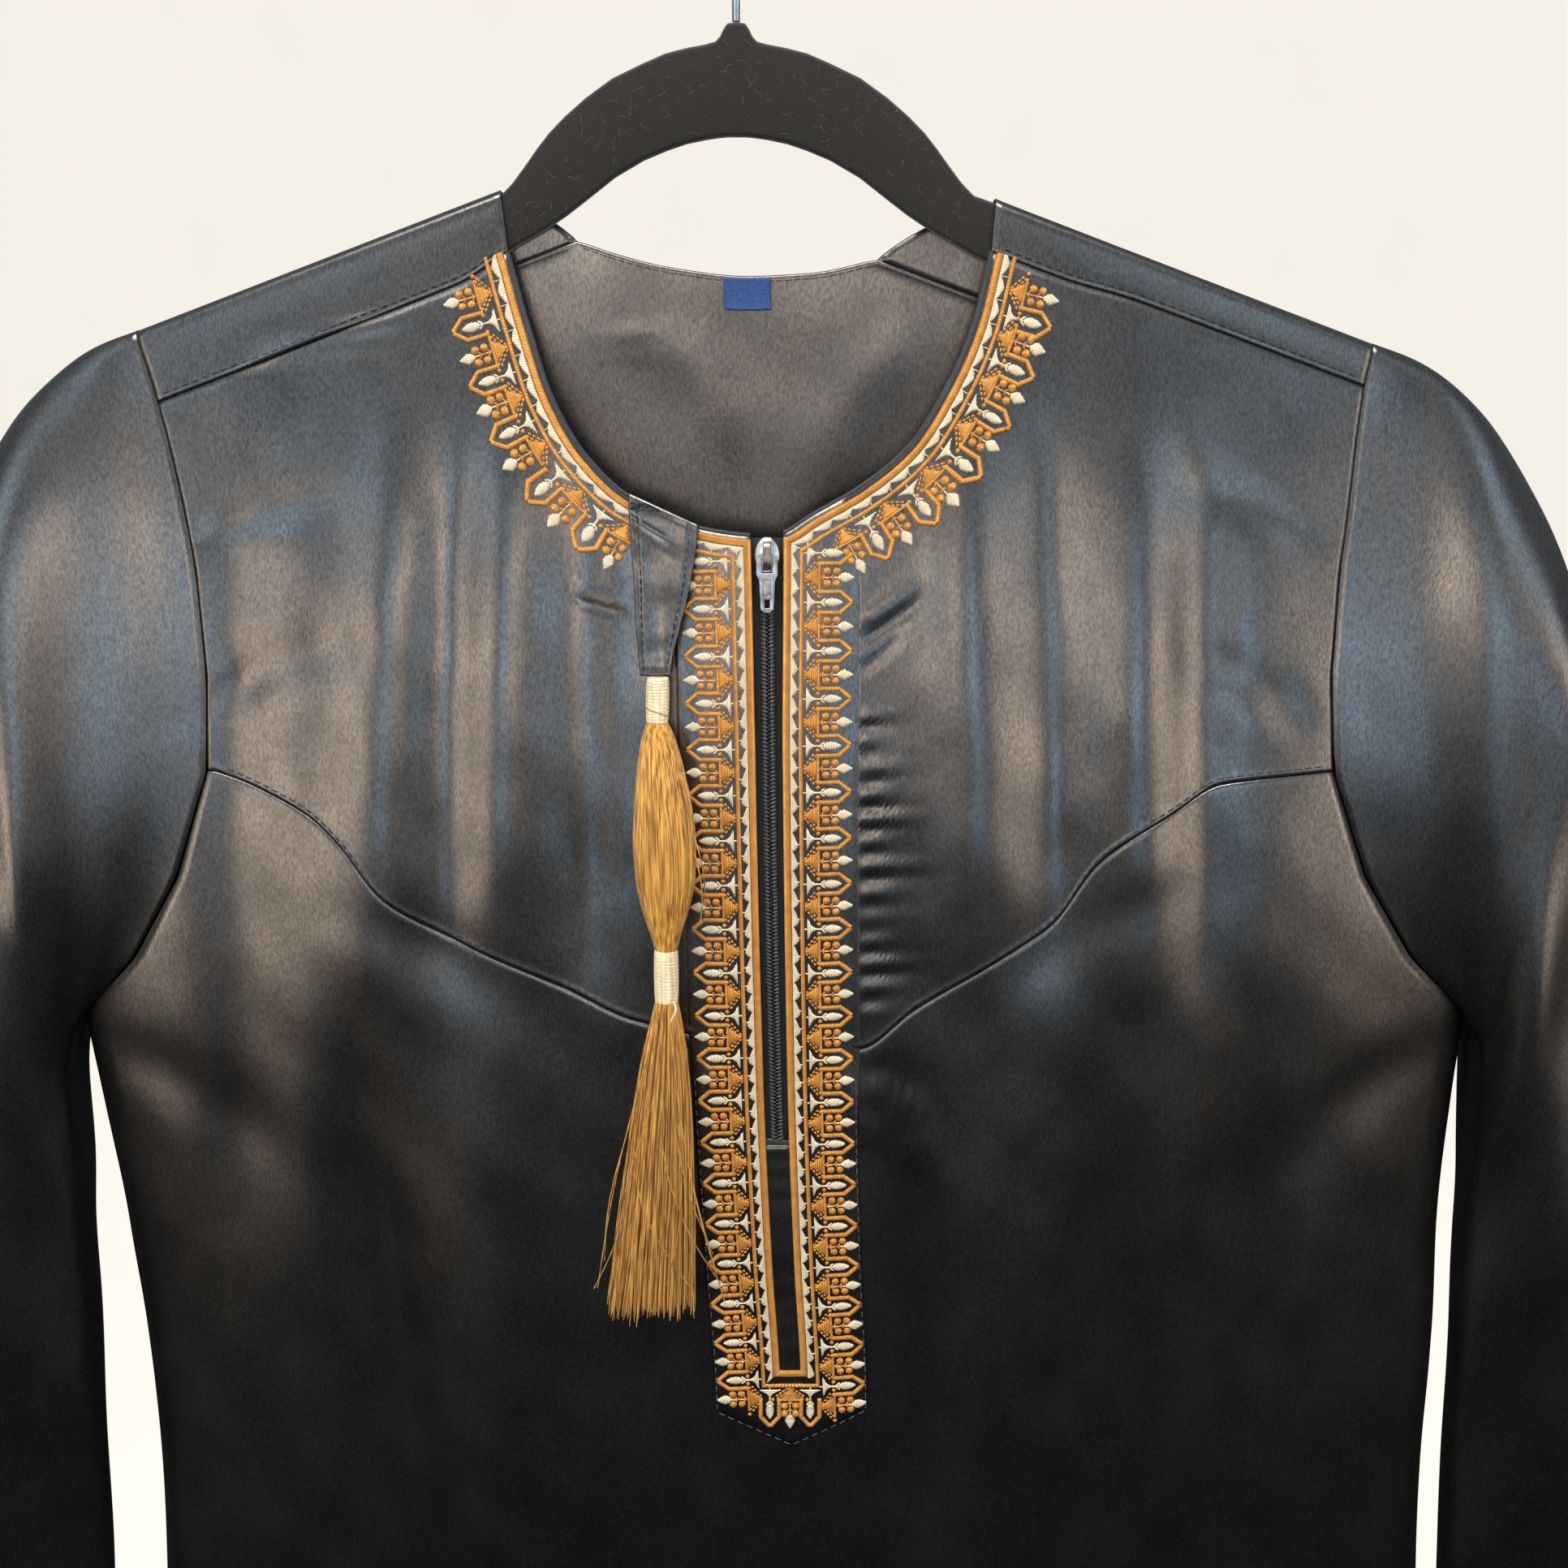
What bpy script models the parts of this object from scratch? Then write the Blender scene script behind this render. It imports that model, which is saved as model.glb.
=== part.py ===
"""A thobe of charcoal satin on a slim flocked hanger, with a zipped placket and a two-part tassel.

Metres, +Z up. The origin is where the hook hangs on a rail, the garment's front faces -Y
and +X is at the right hand of someone who looks at the front.
"""

import math
from bisect import bisect_right
from collections import namedtuple

import bmesh
import bpy
import numpy as np

# Cloth and seams
CLOTH = 0.0012
TRIM = 0.0010
SEAM_GAP = 0.0003
LAYER_GAP = 0.0005

# Garment lengths below the rail, and half widths of the cut
SHOULDER_HALF = 0.229
UNDERARM_Z = -0.463
HEM_Z = -1.469
NECK_RIDGE_X = 0.0873
NECK_RIDGE_Z = -0.1455
SHOULDER_SLOPE = 0.361

# Hanger
HANGER_HALF_THICK = 0.0028
HOOK_WIRE = 0.0030
HOOK_RADIUS = 0.0235
STEM_FOOT_Z = -0.0846

# Zip
SLOT_HALF = 0.0062
TAPE_HALF = 0.0125
CHAIN_HALF = 0.0028
CHAIN_THICK = 0.0022
ZIP_TOP_Z = -0.2655
ZIP_FOOT_Z = -0.5050
SLIDER_Z = -0.2722
SLIDER_HIGH = 0.0065
SLIDER_LOW = -0.0070
SLIDER_BACK = -0.0004
SLIDER_FACE = 0.0032
PULL_THICK = 0.0012
PULL_AXIS_OUT = 0.0041
PULL_AXIS_UP = -0.0003
STRAP_HALF = 0.0016

# Placket
PLACKET_HALF = 0.0350
PLACKET_FOOT_HALF = 0.0322
PLACKET_SLOT_ROWS = 18
PLACKET_FOOT_ROWS = 7
PLACKET_FOOT_Z = -0.6255
PLACKET_POINT_Z = -0.6435

# Columns and rows that neighbouring pieces share
NECK_COLUMNS = (0.0062, 0.0205, 0.0358, 0.0430, 0.0525, 0.0625, 0.0720, 0.0800, 0.0850)
YOKE_SHARES = (0.0, 0.10, 0.20, 0.30, 0.40, 0.50, 0.60, 0.70, 0.80, 0.88, 0.95, 1.0)
ARMHOLE_LOW = (-0.357, -0.400, -0.435, UNDERARM_Z)
LOWER_SHARES = (0.13, 0.17, 0.21, 0.27, 0.34, 0.42, 0.52, 0.64, 0.76, 0.88, 1.0)
BACK_UPPER_ROWS = 6
NECK_CORNER = 0.0005

Fold = namedtuple("Fold", "x_top z_top x_foot z_foot width_top width_foot height")
Ring = namedtuple("Ring", "top_x top_z under_x under_z depth straight")


def mix(a, b, share):
    return a + (b - a) * share


def ease(share):
    share = min(max(share, 0.0), 1.0)
    return share * share * (3 - 2 * share)


def smooth_curve(rows):
    """A function that passes smoothly through the (place, value) rows with no overshoot."""
    places = [row[0] for row in rows]
    values = [row[1] for row in rows]
    slopes = [(values[i + 1] - values[i]) / (places[i + 1] - places[i]) for i in range(len(rows) - 1)]
    tangents = [slopes[0]]
    for before, after in zip(slopes, slopes[1:]):
        tangents.append(0.0 if before * after <= 0 else 2 * before * after / (before + after))
    tangents.append(slopes[-1])

    def value(at):
        at = min(max(at, places[0]), places[-1])
        i = min(bisect_right(places, at) - 1, len(slopes) - 1)
        span = places[i + 1] - places[i]
        t = (at - places[i]) / span
        rise = (1 + 2 * t) * (1 - t) ** 2 * values[i] + t * t * (3 - 2 * t) * values[i + 1]
        return rise + span * (t * (1 - t) ** 2 * tangents[i] - t * t * (1 - t) * tangents[i + 1])

    return value


# Line down the middle of the front, which leans a little: (depth below the rail, x)
centre_at_depth = smooth_curve([
    (0.14, 0.0040), (0.20, 0.0070), (0.27, 0.0108), (0.34, 0.0113), (0.48, 0.0137),
    (0.56, 0.0168), (0.61, 0.0197), (0.64, 0.0203), (1.47, 0.0215),
])

# Half width of the armhole edge, then of the side seam: (depth below the rail, half width)
EDGE_ROWS = [
    (0.185, 0.2305), (0.193, 0.2290), (0.23, 0.2235), (0.28, 0.2175), (0.32, 0.2160),
    (0.357, 0.2185), (0.400, 0.2340), (0.435, 0.2560), (0.463, 0.2850),
]
SIDE_ROWS = [
    (0.463, 0.285), (0.50, 0.282), (0.56, 0.279), (0.65, 0.279),
    (0.80, 0.288), (1.0, 0.308), (1.25, 0.338), (1.47, 0.365),
]
side_half = smooth_curve(SIDE_ROWS)

# How far the cloth stands forward and back of the hanger's plane: (distance below the shoulder ridge, depth)
front_fullness = smooth_curve([
    (0, 0), (0.02, 0.004), (0.05, 0.0095), (0.1, 0.0175), (0.15, 0.023),
    (0.25, 0.0285), (0.4, 0.032), (0.8, 0.040), (1.34, 0.052),
])
back_fullness = smooth_curve([
    (0, 0), (0.02, 0.0025), (0.05, 0.006), (0.1, 0.011),
    (0.25, 0.019), (0.4, 0.024), (0.8, 0.034), (1.34, 0.048),
])
RIDGE_HALF = 0.0039
RIDGE_RISE = 0.0030

# Front neckline, left to right: (x, z)
NECKLINE = [
    (-0.0843, -0.1635), (-0.0772, -0.1894), (-0.0686, -0.2155), (-0.0567, -0.2359), (-0.0403, -0.2511),
    (-0.0118, -0.2630), (0.0048, -0.2652), (0.0108, -0.2655), (0.0168, -0.2642), (0.0273, -0.2579),
    (0.0454, -0.2476), (0.0633, -0.2330), (0.0767, -0.2126), (0.0870, -0.1894), (0.0933, -0.1635),
]
BACK_NECKLINE = [
    (-0.0600, -0.1591), (-0.0456, -0.1639), (-0.0244, -0.1688),
    (0.0031, -0.1717), (0.0275, -0.1706), (0.0520, -0.1658),
]
neckline = smooth_curve(NECKLINE)
back_neckline = smooth_curve(BACK_NECKLINE)

# Yoke strips: their seams lie this far below the ridge, (distance from the middle, drop)
yoke_front_drop = {
    -1: smooth_curve([(0.0843, 0.0191), (0.104, 0.024), (0.24, 0.025)]),
    1: smooth_curve([(0.0933, 0.0158), (0.1169, 0.0158), (0.15, 0.0135), (0.24, 0.0130)]),
}
YOKE_BACK_DROP = {-1: 0.0235, 1: 0.0330}
YOKE_RIDGE_NECK_X = {-1: -0.0863, 1: 0.0945}
YOKE_FRONT_NECK_X = {-1: NECKLINE[0][0], 1: NECKLINE[-1][0]}
YOKE_BACK_NECK_X = {-1: BACK_NECKLINE[0][0], 1: BACK_NECKLINE[-1][0]}

# Chest seam across the whole front, left to right: (x, z)
CHEST_SEAM = [
    (-0.2050, -0.3570), (-0.1870, -0.3635), (-0.1680, -0.3730), (-0.1542, -0.3857), (-0.1400, -0.4049),
    (-0.1307, -0.4122), (-0.1119, -0.4225), (-0.0678, -0.4421), (-0.0425, -0.4543), (0.0030, -0.4640),
    (0.0466, -0.4666), (0.0685, -0.4503), (0.0926, -0.4355), (0.1086, -0.4258), (0.1206, -0.4179),
    (0.1261, -0.4121), (0.1307, -0.4046), (0.1353, -0.3969), (0.1399, -0.3907), (0.1462, -0.3851),
    (0.1541, -0.3795), (0.1684, -0.3715), (0.1875, -0.3612), (0.2285, -0.3570),
]
chest_seam = smooth_curve(CHEST_SEAM)

# Soft folds that fall from the shoulders and chest, outwards where height is positive
FRONT_FOLDS = [
    Fold(-0.125, -0.19, -0.150, -0.50, 0.013, 0.020, 0.0028),
    Fold(-0.105, -0.20, -0.118, -0.47, 0.010, 0.014, -0.0024),
    Fold(-0.083, -0.19, -0.095, -0.46, 0.011, 0.016, 0.0026),
    Fold(-0.058, -0.22, -0.060, -0.46, 0.011, 0.014, -0.0026),
    Fold(0.082, -0.19, 0.093, -0.46, 0.011, 0.017, 0.0028),
    Fold(0.112, -0.19, 0.128, -0.47, 0.012, 0.016, -0.0030),
    Fold(0.146, -0.19, 0.162, -0.48, 0.013, 0.018, 0.0028),
    Fold(0.172, -0.20, 0.185, -0.48, 0.011, 0.015, -0.0024),
    Fold(-0.190, -0.21, -0.205, -0.60, 0.014, 0.022, -0.0030),
    Fold(-0.158, -0.42, -0.128, -0.95, 0.012, 0.022, -0.0070),
    Fold(-0.110, -0.42, -0.078, -1.00, 0.018, 0.028, 0.0050),
    Fold(0.070, -0.47, 0.078, -1.10, 0.014, 0.026, -0.0060),
    Fold(0.105, -0.45, 0.110, -1.00, 0.017, 0.026, 0.0050),
    Fold(0.140, -0.44, 0.150, -1.05, 0.016, 0.026, -0.0060),
    Fold(0.205, -0.40, 0.190, -1.00, 0.016, 0.026, -0.0060),
    Fold(-0.255, -0.62, -0.290, -2.10, 0.022, 0.036, 0.0140),
    Fold(-0.195, -0.66, -0.205, -2.10, 0.022, 0.034, -0.0170),
    Fold(-0.130, -0.70, -0.120, -2.10, 0.024, 0.034, 0.0150),
    Fold(-0.055, -0.62, -0.035, -2.10, 0.022, 0.032, -0.0150),
    Fold(0.025, -0.74, 0.040, -2.10, 0.022, 0.032, 0.0120),
    Fold(0.095, -0.68, 0.118, -2.10, 0.022, 0.034, -0.0170),
    Fold(0.165, -0.72, 0.195, -2.10, 0.024, 0.034, 0.0150),
    Fold(0.232, -0.64, 0.272, -2.10, 0.020, 0.030, -0.0150),
]
BACK_FOLDS = [
    Fold(-0.150, -0.22, -0.165, -0.80, 0.018, 0.026, -0.0045),
    Fold(-0.085, -0.20, -0.090, -0.85, 0.018, 0.026, 0.0040),
    Fold(-0.020, -0.24, -0.015, -0.90, 0.018, 0.026, -0.0040),
    Fold(0.050, -0.20, 0.055, -0.85, 0.018, 0.026, 0.0040),
    Fold(0.120, -0.22, 0.130, -0.80, 0.018, 0.026, -0.0045),
    Fold(-0.235, -0.60, -0.270, -2.10, 0.022, 0.034, -0.0150),
    Fold(-0.165, -0.66, -0.185, -2.10, 0.024, 0.034, 0.0140),
    Fold(-0.095, -0.60, -0.100, -2.10, 0.022, 0.032, -0.0160),
    Fold(-0.015, -0.70, -0.010, -2.10, 0.024, 0.034, 0.0150),
    Fold(0.065, -0.62, 0.075, -2.10, 0.022, 0.032, -0.0150),
    Fold(0.140, -0.68, 0.160, -2.10, 0.024, 0.034, 0.0150),
    Fold(0.215, -0.60, 0.245, -2.10, 0.022, 0.034, -0.0150),
]

# Gathers that pull sideways from the placket's right edge
PUCKER_TOP_Z = -0.328
PUCKER_FOOT_Z = -0.456
PUCKERS = 13
PUCKER_HEIGHT = 0.0015
PUCKER_LENGTHS = (0.024, 0.030, 0.021, 0.034, 0.027, 0.022, 0.036, 0.025, 0.031, 0.023, 0.033, 0.026, 0.020)

# Sleeve, from the armhole to the cuff
SLEEVE_RINGS = [
    Ring(0.2290, -0.190, 0.2850, -0.463, 0.016, 0.0),
    Ring(0.2480, -0.197, 0.2890, -0.474, 0.020, 0.45),
    Ring(0.2720, -0.215, 0.2905, -0.489, 0.023, 0.85),
    Ring(0.2980, -0.250, 0.2905, -0.510, 0.026, 1.0),
    Ring(0.3240, -0.305, 0.2905, -0.536, 0.027, 1.0),
    Ring(0.3490, -0.378, 0.2915, -0.567, 0.026, 1.0),
    Ring(0.3740, -0.465, 0.2930, -0.613, 0.024, 1.0),
    Ring(0.3940, -0.560, 0.2955, -0.670, 0.021, 1.0),
    Ring(0.4100, -0.655, 0.2990, -0.738, 0.018, 1.0),
    Ring(0.4220, -0.750, 0.3040, -0.806, 0.016, 1.0),
]
SLEEVE_SIDES = 24
SLEEVE_CREASES = [(2, 3.4, 0.16), (5, 0.9, 0.10), (3, 5.1, 0.08)]

# Hanger's outline on one side of its hook: (x, top z, bottom z)
HANGER_ROWS = [
    (0.0000, -0.0849, -0.1235), (0.0032, -0.0854, -0.1235), (0.0046, -0.0872, -0.1236),
    (0.0058, -0.0896, -0.1237), (0.0075, -0.0914, -0.1239), (0.0110, -0.0923, -0.1244),
    (0.0182, -0.0936, -0.1258), (0.0254, -0.0953, -0.1281), (0.0340, -0.0988, -0.1315),
    (0.0447, -0.1036, -0.1374), (0.0544, -0.1101, -0.1446), (0.0624, -0.1166, -0.1504),
    (0.0680, -0.1219, -0.1540), (0.0724, -0.1270, -0.1566), (0.0769, -0.1328, -0.1590),
    (0.0819, -0.1390, -0.1618), (0.0866, -0.1436, -0.1644), (0.0930, -0.14575, -0.1674),
    (0.1050, -0.15010, -0.1722), (0.1500, -0.16635, -0.1880), (0.2050, -0.18620, -0.2050),
    (0.2180, -0.19100, -0.2075), (0.2220, -0.19400, -0.2050),
]

# Tassel: (z, middle x, half width, half depth)
TASSEL_BULB = [
    (-0.3331, -0.0300, 0.0040, 0.0036), (-0.3380, -0.0297, 0.0062, 0.0050),
    (-0.3480, -0.0292, 0.0085, 0.0062), (-0.3620, -0.0284, 0.0106, 0.0070),
    (-0.3780, -0.0280, 0.0119, 0.0074), (-0.3920, -0.0279, 0.0114, 0.0072),
    (-0.4040, -0.0280, 0.0092, 0.0064), (-0.4140, -0.0280, 0.0062, 0.0050),
    (-0.4200, -0.0280, 0.0044, 0.0040),
]
UPPER_WRAP = ((-0.3162, -0.3328), (-0.0296, -0.0300), 0.0043)
LOWER_WRAP = ((-0.4203, -0.4417), (-0.0280, -0.0281), 0.0047)
# Skirt: (z, middle x, scale in x, scale in y), scales of the bound head
SKIRT_ROWS = [
    (-0.4465, -0.0283, 1.20, 1.08), (-0.4660, -0.0293, 2.10, 1.50), (-0.5050, -0.0317, 3.10, 1.75),
    (-0.5700, -0.0362, 4.30, 1.85),
]
SKIRT_HEAD_HALF = 0.0044
SKIRT_SECTORS = 14
SKIRT_RINGS = (0.24, 0.50, 0.75, 1.0)
tassel_y = smooth_curve(
    [(0.314, -0.0365), (0.335, -0.0385), (0.38, -0.0412), (0.44, -0.0425), (0.50, -0.0440), (0.58, -0.0460)]
)

# Tab, downwards: (left x, left z, right x, right z, stand-off from the front's middle surface)
TAB_ROWS = [
    (-0.0398, -0.2510, -0.0146, -0.2622, 0.0029), (-0.0394, -0.2610, -0.0154, -0.2690, 0.0034),
    (-0.0385, -0.2740, -0.0170, -0.2790, 0.0041), (-0.0378, -0.2870, -0.0192, -0.2895, 0.0050),
    (-0.0371, -0.3000, -0.0222, -0.3010, 0.0060), (-0.0364, -0.3098, -0.0243, -0.3100, 0.0070),
    (-0.0358, -0.3163, -0.0252, -0.3163, 0.0077),
]

LABEL_HALF = 0.0086
LABEL_X = 0.0033
LABEL_HEIGHT = 0.0110


def centre(z):
    return centre_at_depth(-z)


def edge_half(z):
    """Half width of the body: the armhole edge above the underarm, the side seam below it."""
    if z <= UNDERARM_Z:
        return side_half(-z)
    return float(np.interp(-z, *zip(*EDGE_ROWS)))


def full_half(z):
    """Half width at which front and back would meet, which the armhole cuts short."""
    if z <= UNDERARM_Z:
        return side_half(-z)
    return mix(0.262, 0.285, ease((-0.193 - z) / 0.27))


def ridge_z(x):
    """Height of the shoulder ridge's springing line, over the hanger's arm."""
    return NECK_RIDGE_Z - SHOULDER_SLOPE * (abs(x) - NECK_RIDGE_X)


def fold_sum(folds, x, z):
    total = 0.0
    for fold in folds:
        share = (fold.z_top - z) / (fold.z_top - fold.z_foot)
        if not 0 < share < 1:
            continue
        offset = (x - mix(fold.x_top, fold.x_foot, share)) / mix(fold.width_top, fold.width_foot, share)
        fade = ease(share / 0.3) * ease((1 - share) / 0.3)
        total += fold.height * fade * math.exp(-offset * offset)
    return total


def pucker_sum(x, z):
    """Small gathers at the placket's right edge, dying out sideways."""
    if not PUCKER_FOOT_Z < z < PUCKER_TOP_Z:
        return 0.0
    pitch = (PUCKER_TOP_Z - PUCKER_FOOT_Z) / PUCKERS
    place = (PUCKER_TOP_Z - z) / pitch
    length = PUCKER_LENGTHS[min(int(place), PUCKERS - 1)]
    out = x - (centre(z) + PLACKET_HALF)
    rise = ease((out - 0.0008) / 0.006) * math.exp(-((max(out - 0.006, 0) / length) ** 2))
    return -PUCKER_HEIGHT * rise * math.cos(2 * math.pi * place)


def depth_at(x, z, fullness, folds):
    below = max(ridge_z(x) - z, 0.0)
    across = min(abs(x - centre(z)) / full_half(z), 1.0)
    roundness = max(1 - across**2.6, 0.0) ** 0.5
    on_hanger = mix(RIDGE_HALF, SEAM_GAP / 2, ease(below / 0.15))
    folded = fold_sum(folds, x, z) * ease(below / 0.05) * min(roundness * 1.6, 1.0)
    return math.hypot(fullness(below) * roundness, on_hanger) + folded


def front_depth(x, z):
    return depth_at(x, z, front_fullness, FRONT_FOLDS) + pucker_sum(x, z)


def back_depth(x, z):
    return depth_at(x, z, back_fullness, BACK_FOLDS)


Face = namedtuple("Face", "depth facing")
FRONT = Face(front_depth, -1)
BACK = Face(back_depth, 1)


def on_face(face, x, z):
    """The middle surface's point at x and z, and its outward normal there."""
    step = 0.0008
    slope_x = (face.depth(x + step, z) - face.depth(x - step, z)) / (2 * step)
    slope_z = (face.depth(x, z + step) - face.depth(x, z - step)) / (2 * step)
    normal = np.array([-slope_x, face.facing, -slope_z])
    return np.array([x, face.facing * face.depth(x, z), z]), normal / np.linalg.norm(normal)


def lay(face, places, out=0.0):
    """Points and normals of a grid of (x, z) places on the front or the back, moved out by this much."""
    laid = np.array([[on_face(face, x, z) for x, z in row] for row in places])
    points, normals = laid[:, :, 0], laid[:, :, 1]
    return points + normals * out, normals


def on_front(x, z, out=0.0):
    point, normal = on_face(FRONT, x, z)
    return point + normal * out


def material(name, colour, roughness, metallic=0.0):
    made = bpy.data.materials.new(name)
    made.use_nodes = True
    shader = made.node_tree.nodes["Principled BSDF"]
    shader.inputs["Base Color"].default_value = (*colour, 1)
    shader.inputs["Roughness"].default_value = roughness
    shader.inputs["Metallic"].default_value = metallic
    return made


def place_mesh(name, points, faces, made_of, sharp=35):
    """Makes one named object of these points and faces, with its faces turned outwards."""
    shape = bmesh.new()
    corners = [shape.verts.new(point) for point in points]
    for face in faces:
        shape.faces.new([corners[i] for i in face])
    bmesh.ops.delete(shape, geom=[corner for corner in shape.verts if not corner.link_faces], context="VERTS")
    bmesh.ops.recalc_face_normals(shape, faces=shape.faces)
    if shape.calc_volume(signed=True) < 0:
        bmesh.ops.reverse_faces(shape, faces=shape.faces)
    mesh = bpy.data.meshes.new(name)
    shape.to_mesh(mesh)
    shape.free()
    mesh.shade_smooth()
    mesh.set_sharp_from_angle(angle=math.radians(sharp))
    mesh.materials.append(made_of)
    placed = bpy.data.objects.new(name, mesh)
    bpy.context.scene.collection.objects.link(placed)
    return placed


def grid_normals(grid, ring):
    down = np.gradient(grid, axis=0)
    if ring:
        along = np.roll(grid, -1, axis=1) - np.roll(grid, 1, axis=1)
    else:
        along = np.gradient(grid, axis=1)
    normal = np.cross(down, along)
    return normal / np.linalg.norm(normal, axis=2, keepdims=True)


def wall(name, grid, normals, thickness, made_of, kept=None, ring=False):
    """A closed wall around a grid of middle points. kept says which cells are cloth, so the rest are cut out.

    Both faces are cut along the same diagonals, which keeps the wall as thick in a fold as beside it.
    """
    grid = np.array(grid)
    rows, columns = grid.shape[:2]
    if normals is None:
        normals = grid_normals(grid, ring)
    across = columns if ring else columns - 1
    if kept is None:
        kept = np.ones((rows - 1, across), bool)
    points = np.concatenate([grid + normals * thickness / 2, grid - normals * thickness / 2]).reshape(-1, 3)
    inner = rows * columns

    def index(i, j):
        return i * columns + j % columns

    def is_cloth(i, j):
        if ring:
            j %= across
        return 0 <= i < rows - 1 and 0 <= j < across and kept[i][j]

    faces = []
    for i in range(rows - 1):
        for j in range(across):
            if not kept[i][j]:
                continue
            a, b, c, d = index(i, j), index(i, j + 1), index(i + 1, j + 1), index(i + 1, j)
            for corners in ((a, b, c), (a, c, d)):
                faces.append(corners)
                faces.append(tuple(inner + corner for corner in reversed(corners)))
            sides = (((i - 1, j), a, b), ((i, j + 1), b, c), ((i + 1, j), c, d), ((i, j - 1), d, a))
            for beside, start, end in sides:
                if not is_cloth(*beside):
                    faces.append((end, start, inner + start, inner + end))
    return place_mesh(name, points, faces, made_of)


def loft(name, sections, made_of, sharp=35):
    """A closed solid through rings with the same number of points, with a flat cap on each end."""
    sides = len(sections[0])
    points = [point for section in sections for point in section]
    faces = [tuple(range(sides)), tuple((len(sections) - 1) * sides + j for j in reversed(range(sides)))]
    for i in range(len(sections) - 1):
        for j in range(sides):
            k = (j + 1) % sides
            faces.append((i * sides + j, (i + 1) * sides + j, (i + 1) * sides + k, i * sides + k))
    return place_mesh(name, points, faces, made_of, sharp)


def column_x(side, share, z):
    """x of a front column: share 0 is the zip slot's edge and 1 the armhole or side seam."""
    across = mix(SLOT_HALF, SHOULDER_HALF, share) + (edge_half(z) - SHOULDER_HALF) * share**4
    return centre(z) + side * across


def settle(side, share, line):
    """z at which the column meets a line given as z over x."""
    z = -0.3
    for _ in range(40):
        z = line(column_x(side, share, z))
    return z


def front_top_line(side):
    corner = YOKE_FRONT_NECK_X[side]

    def line(x):
        if side * (x - corner) < -NECK_CORNER:
            return neckline(x)
        return ridge_z(x) - yoke_front_drop[side](abs(x)) - SEAM_GAP

    return line


def front_columns(side):
    """Shares of the columns on one side: at set distances under the neckline, then under the yoke."""
    corner_x, corner_z = NECKLINE[0 if side < 0 else -1]
    distances = (*NECK_COLUMNS, abs(corner_x - centre(corner_z)))
    under_neck = [(distance - SLOT_HALF) / (SHOULDER_HALF - SLOT_HALF) for distance in distances]
    return under_neck + [mix(under_neck[-1], 1, share) for share in YOKE_SHARES[1:]]


def upper_heights(side, share, top, foot):
    """Heights down a column of an upper front. On the right its rows follow the gathers near the placket."""
    if side < 0:
        return [mix(top, foot, k / 13) for k in range(14)]
    level = 1 - ease((share - 0.28) / 0.35)
    first = mix(mix(top, foot, 0.25), min(PUCKER_TOP_Z, top - 0.02), level)
    last = mix(mix(top, foot, 0.93), max(PUCKER_FOOT_Z, foot + 0.004), level)
    gathers = 2 * PUCKERS
    heights = [mix(top, first, k / 4) for k in range(4)]
    heights += [mix(first, last, k / gathers) for k in range(gathers + 1)]
    return heights + [foot]


def upper_front(side):
    """Places of an upper front, from its top edge down to the chest seam."""
    line = front_top_line(side)
    columns = []
    for share in front_columns(side):
        top = settle(side, share, line)
        foot = settle(side, share, chest_seam) + SEAM_GAP / 2
        heights = upper_heights(side, share, top, foot)
        columns.append([(column_x(side, share, z), z) for z in heights])
    return list(zip(*columns))


def lower_heights(side, share):
    """Heights down a column of the lower front. At the side they are the back's too."""
    top = settle(side, share, chest_seam) - SEAM_GAP / 2
    levels = [(z - ARMHOLE_LOW[0]) / (HEM_Z - ARMHOLE_LOW[0]) for z in ARMHOLE_LOW] + list(LOWER_SHARES)
    heights = [mix(top, HEM_Z, level) for level in levels]
    if share == 1:
        heights[1 : len(ARMHOLE_LOW)] = ARMHOLE_LOW[1:]
    return heights


def lower_front():
    """Places of the lower front, from the left side to the right."""
    columns = []
    for side in (-1, 1):
        shares = front_columns(side)
        made = [[(column_x(side, share, z), z) for z in lower_heights(side, share)] for share in shares]
        columns += made[::side]
    return list(zip(*columns))


def back_top(x):
    """The back's upper edge: the back neckline, then the yoke's back seam."""
    for side in (-1, 1):
        if side * (x - YOKE_BACK_NECK_X[side]) > -NECK_CORNER:
            return ridge_z(x) - YOKE_BACK_DROP[side] - SEAM_GAP
    return back_neckline(x)


def back_x(share, z):
    """x of a back column: share -1 is the left side and 1 the right."""
    return centre(z) + share * SHOULDER_HALF + math.copysign(share**4, share) * (edge_half(z) - SHOULDER_HALF)


def back_columns():
    """Shares from the left side to the right, with a column at each end of the back neckline."""
    ends = {side: (x - centre(back_neckline(x))) / SHOULDER_HALF for side, x in YOKE_BACK_NECK_X.items()}
    left = [mix(ends[-1], -1, share) for share in YOKE_SHARES[:0:-1]]
    right = [mix(ends[1], 1, share) for share in YOKE_SHARES[1:]]
    return left + [mix(ends[-1], ends[1], k / 8) for k in range(9)] + right


def back_panel():
    """Places of the back, from its top edge down to the hem."""
    sides = [lower_heights(side, 1) for side in (-1, 1)]
    columns = []
    for share in back_columns():
        top = -0.2
        for _ in range(40):
            top = back_top(back_x(share, top))
        below = [mix(left, right, (share + 1) / 2) for left, right in zip(*sides)]
        heights = [mix(top, ARMHOLE_LOW[0], k / BACK_UPPER_ROWS) for k in range(BACK_UPPER_ROWS)]
        heights += [ARMHOLE_LOW[0]] + below[1:]
        columns.append([(back_x(share, z), z) for z in heights])
    return list(zip(*columns))


def turn_side_seams(normals, first_row):
    """Turns a panel's wall sideways along the side seams, where front and back meet edge to edge."""
    normals[first_row:, 0] = (-1, 0, 0)
    normals[first_row:, -1] = (1, 0, 0)


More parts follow.
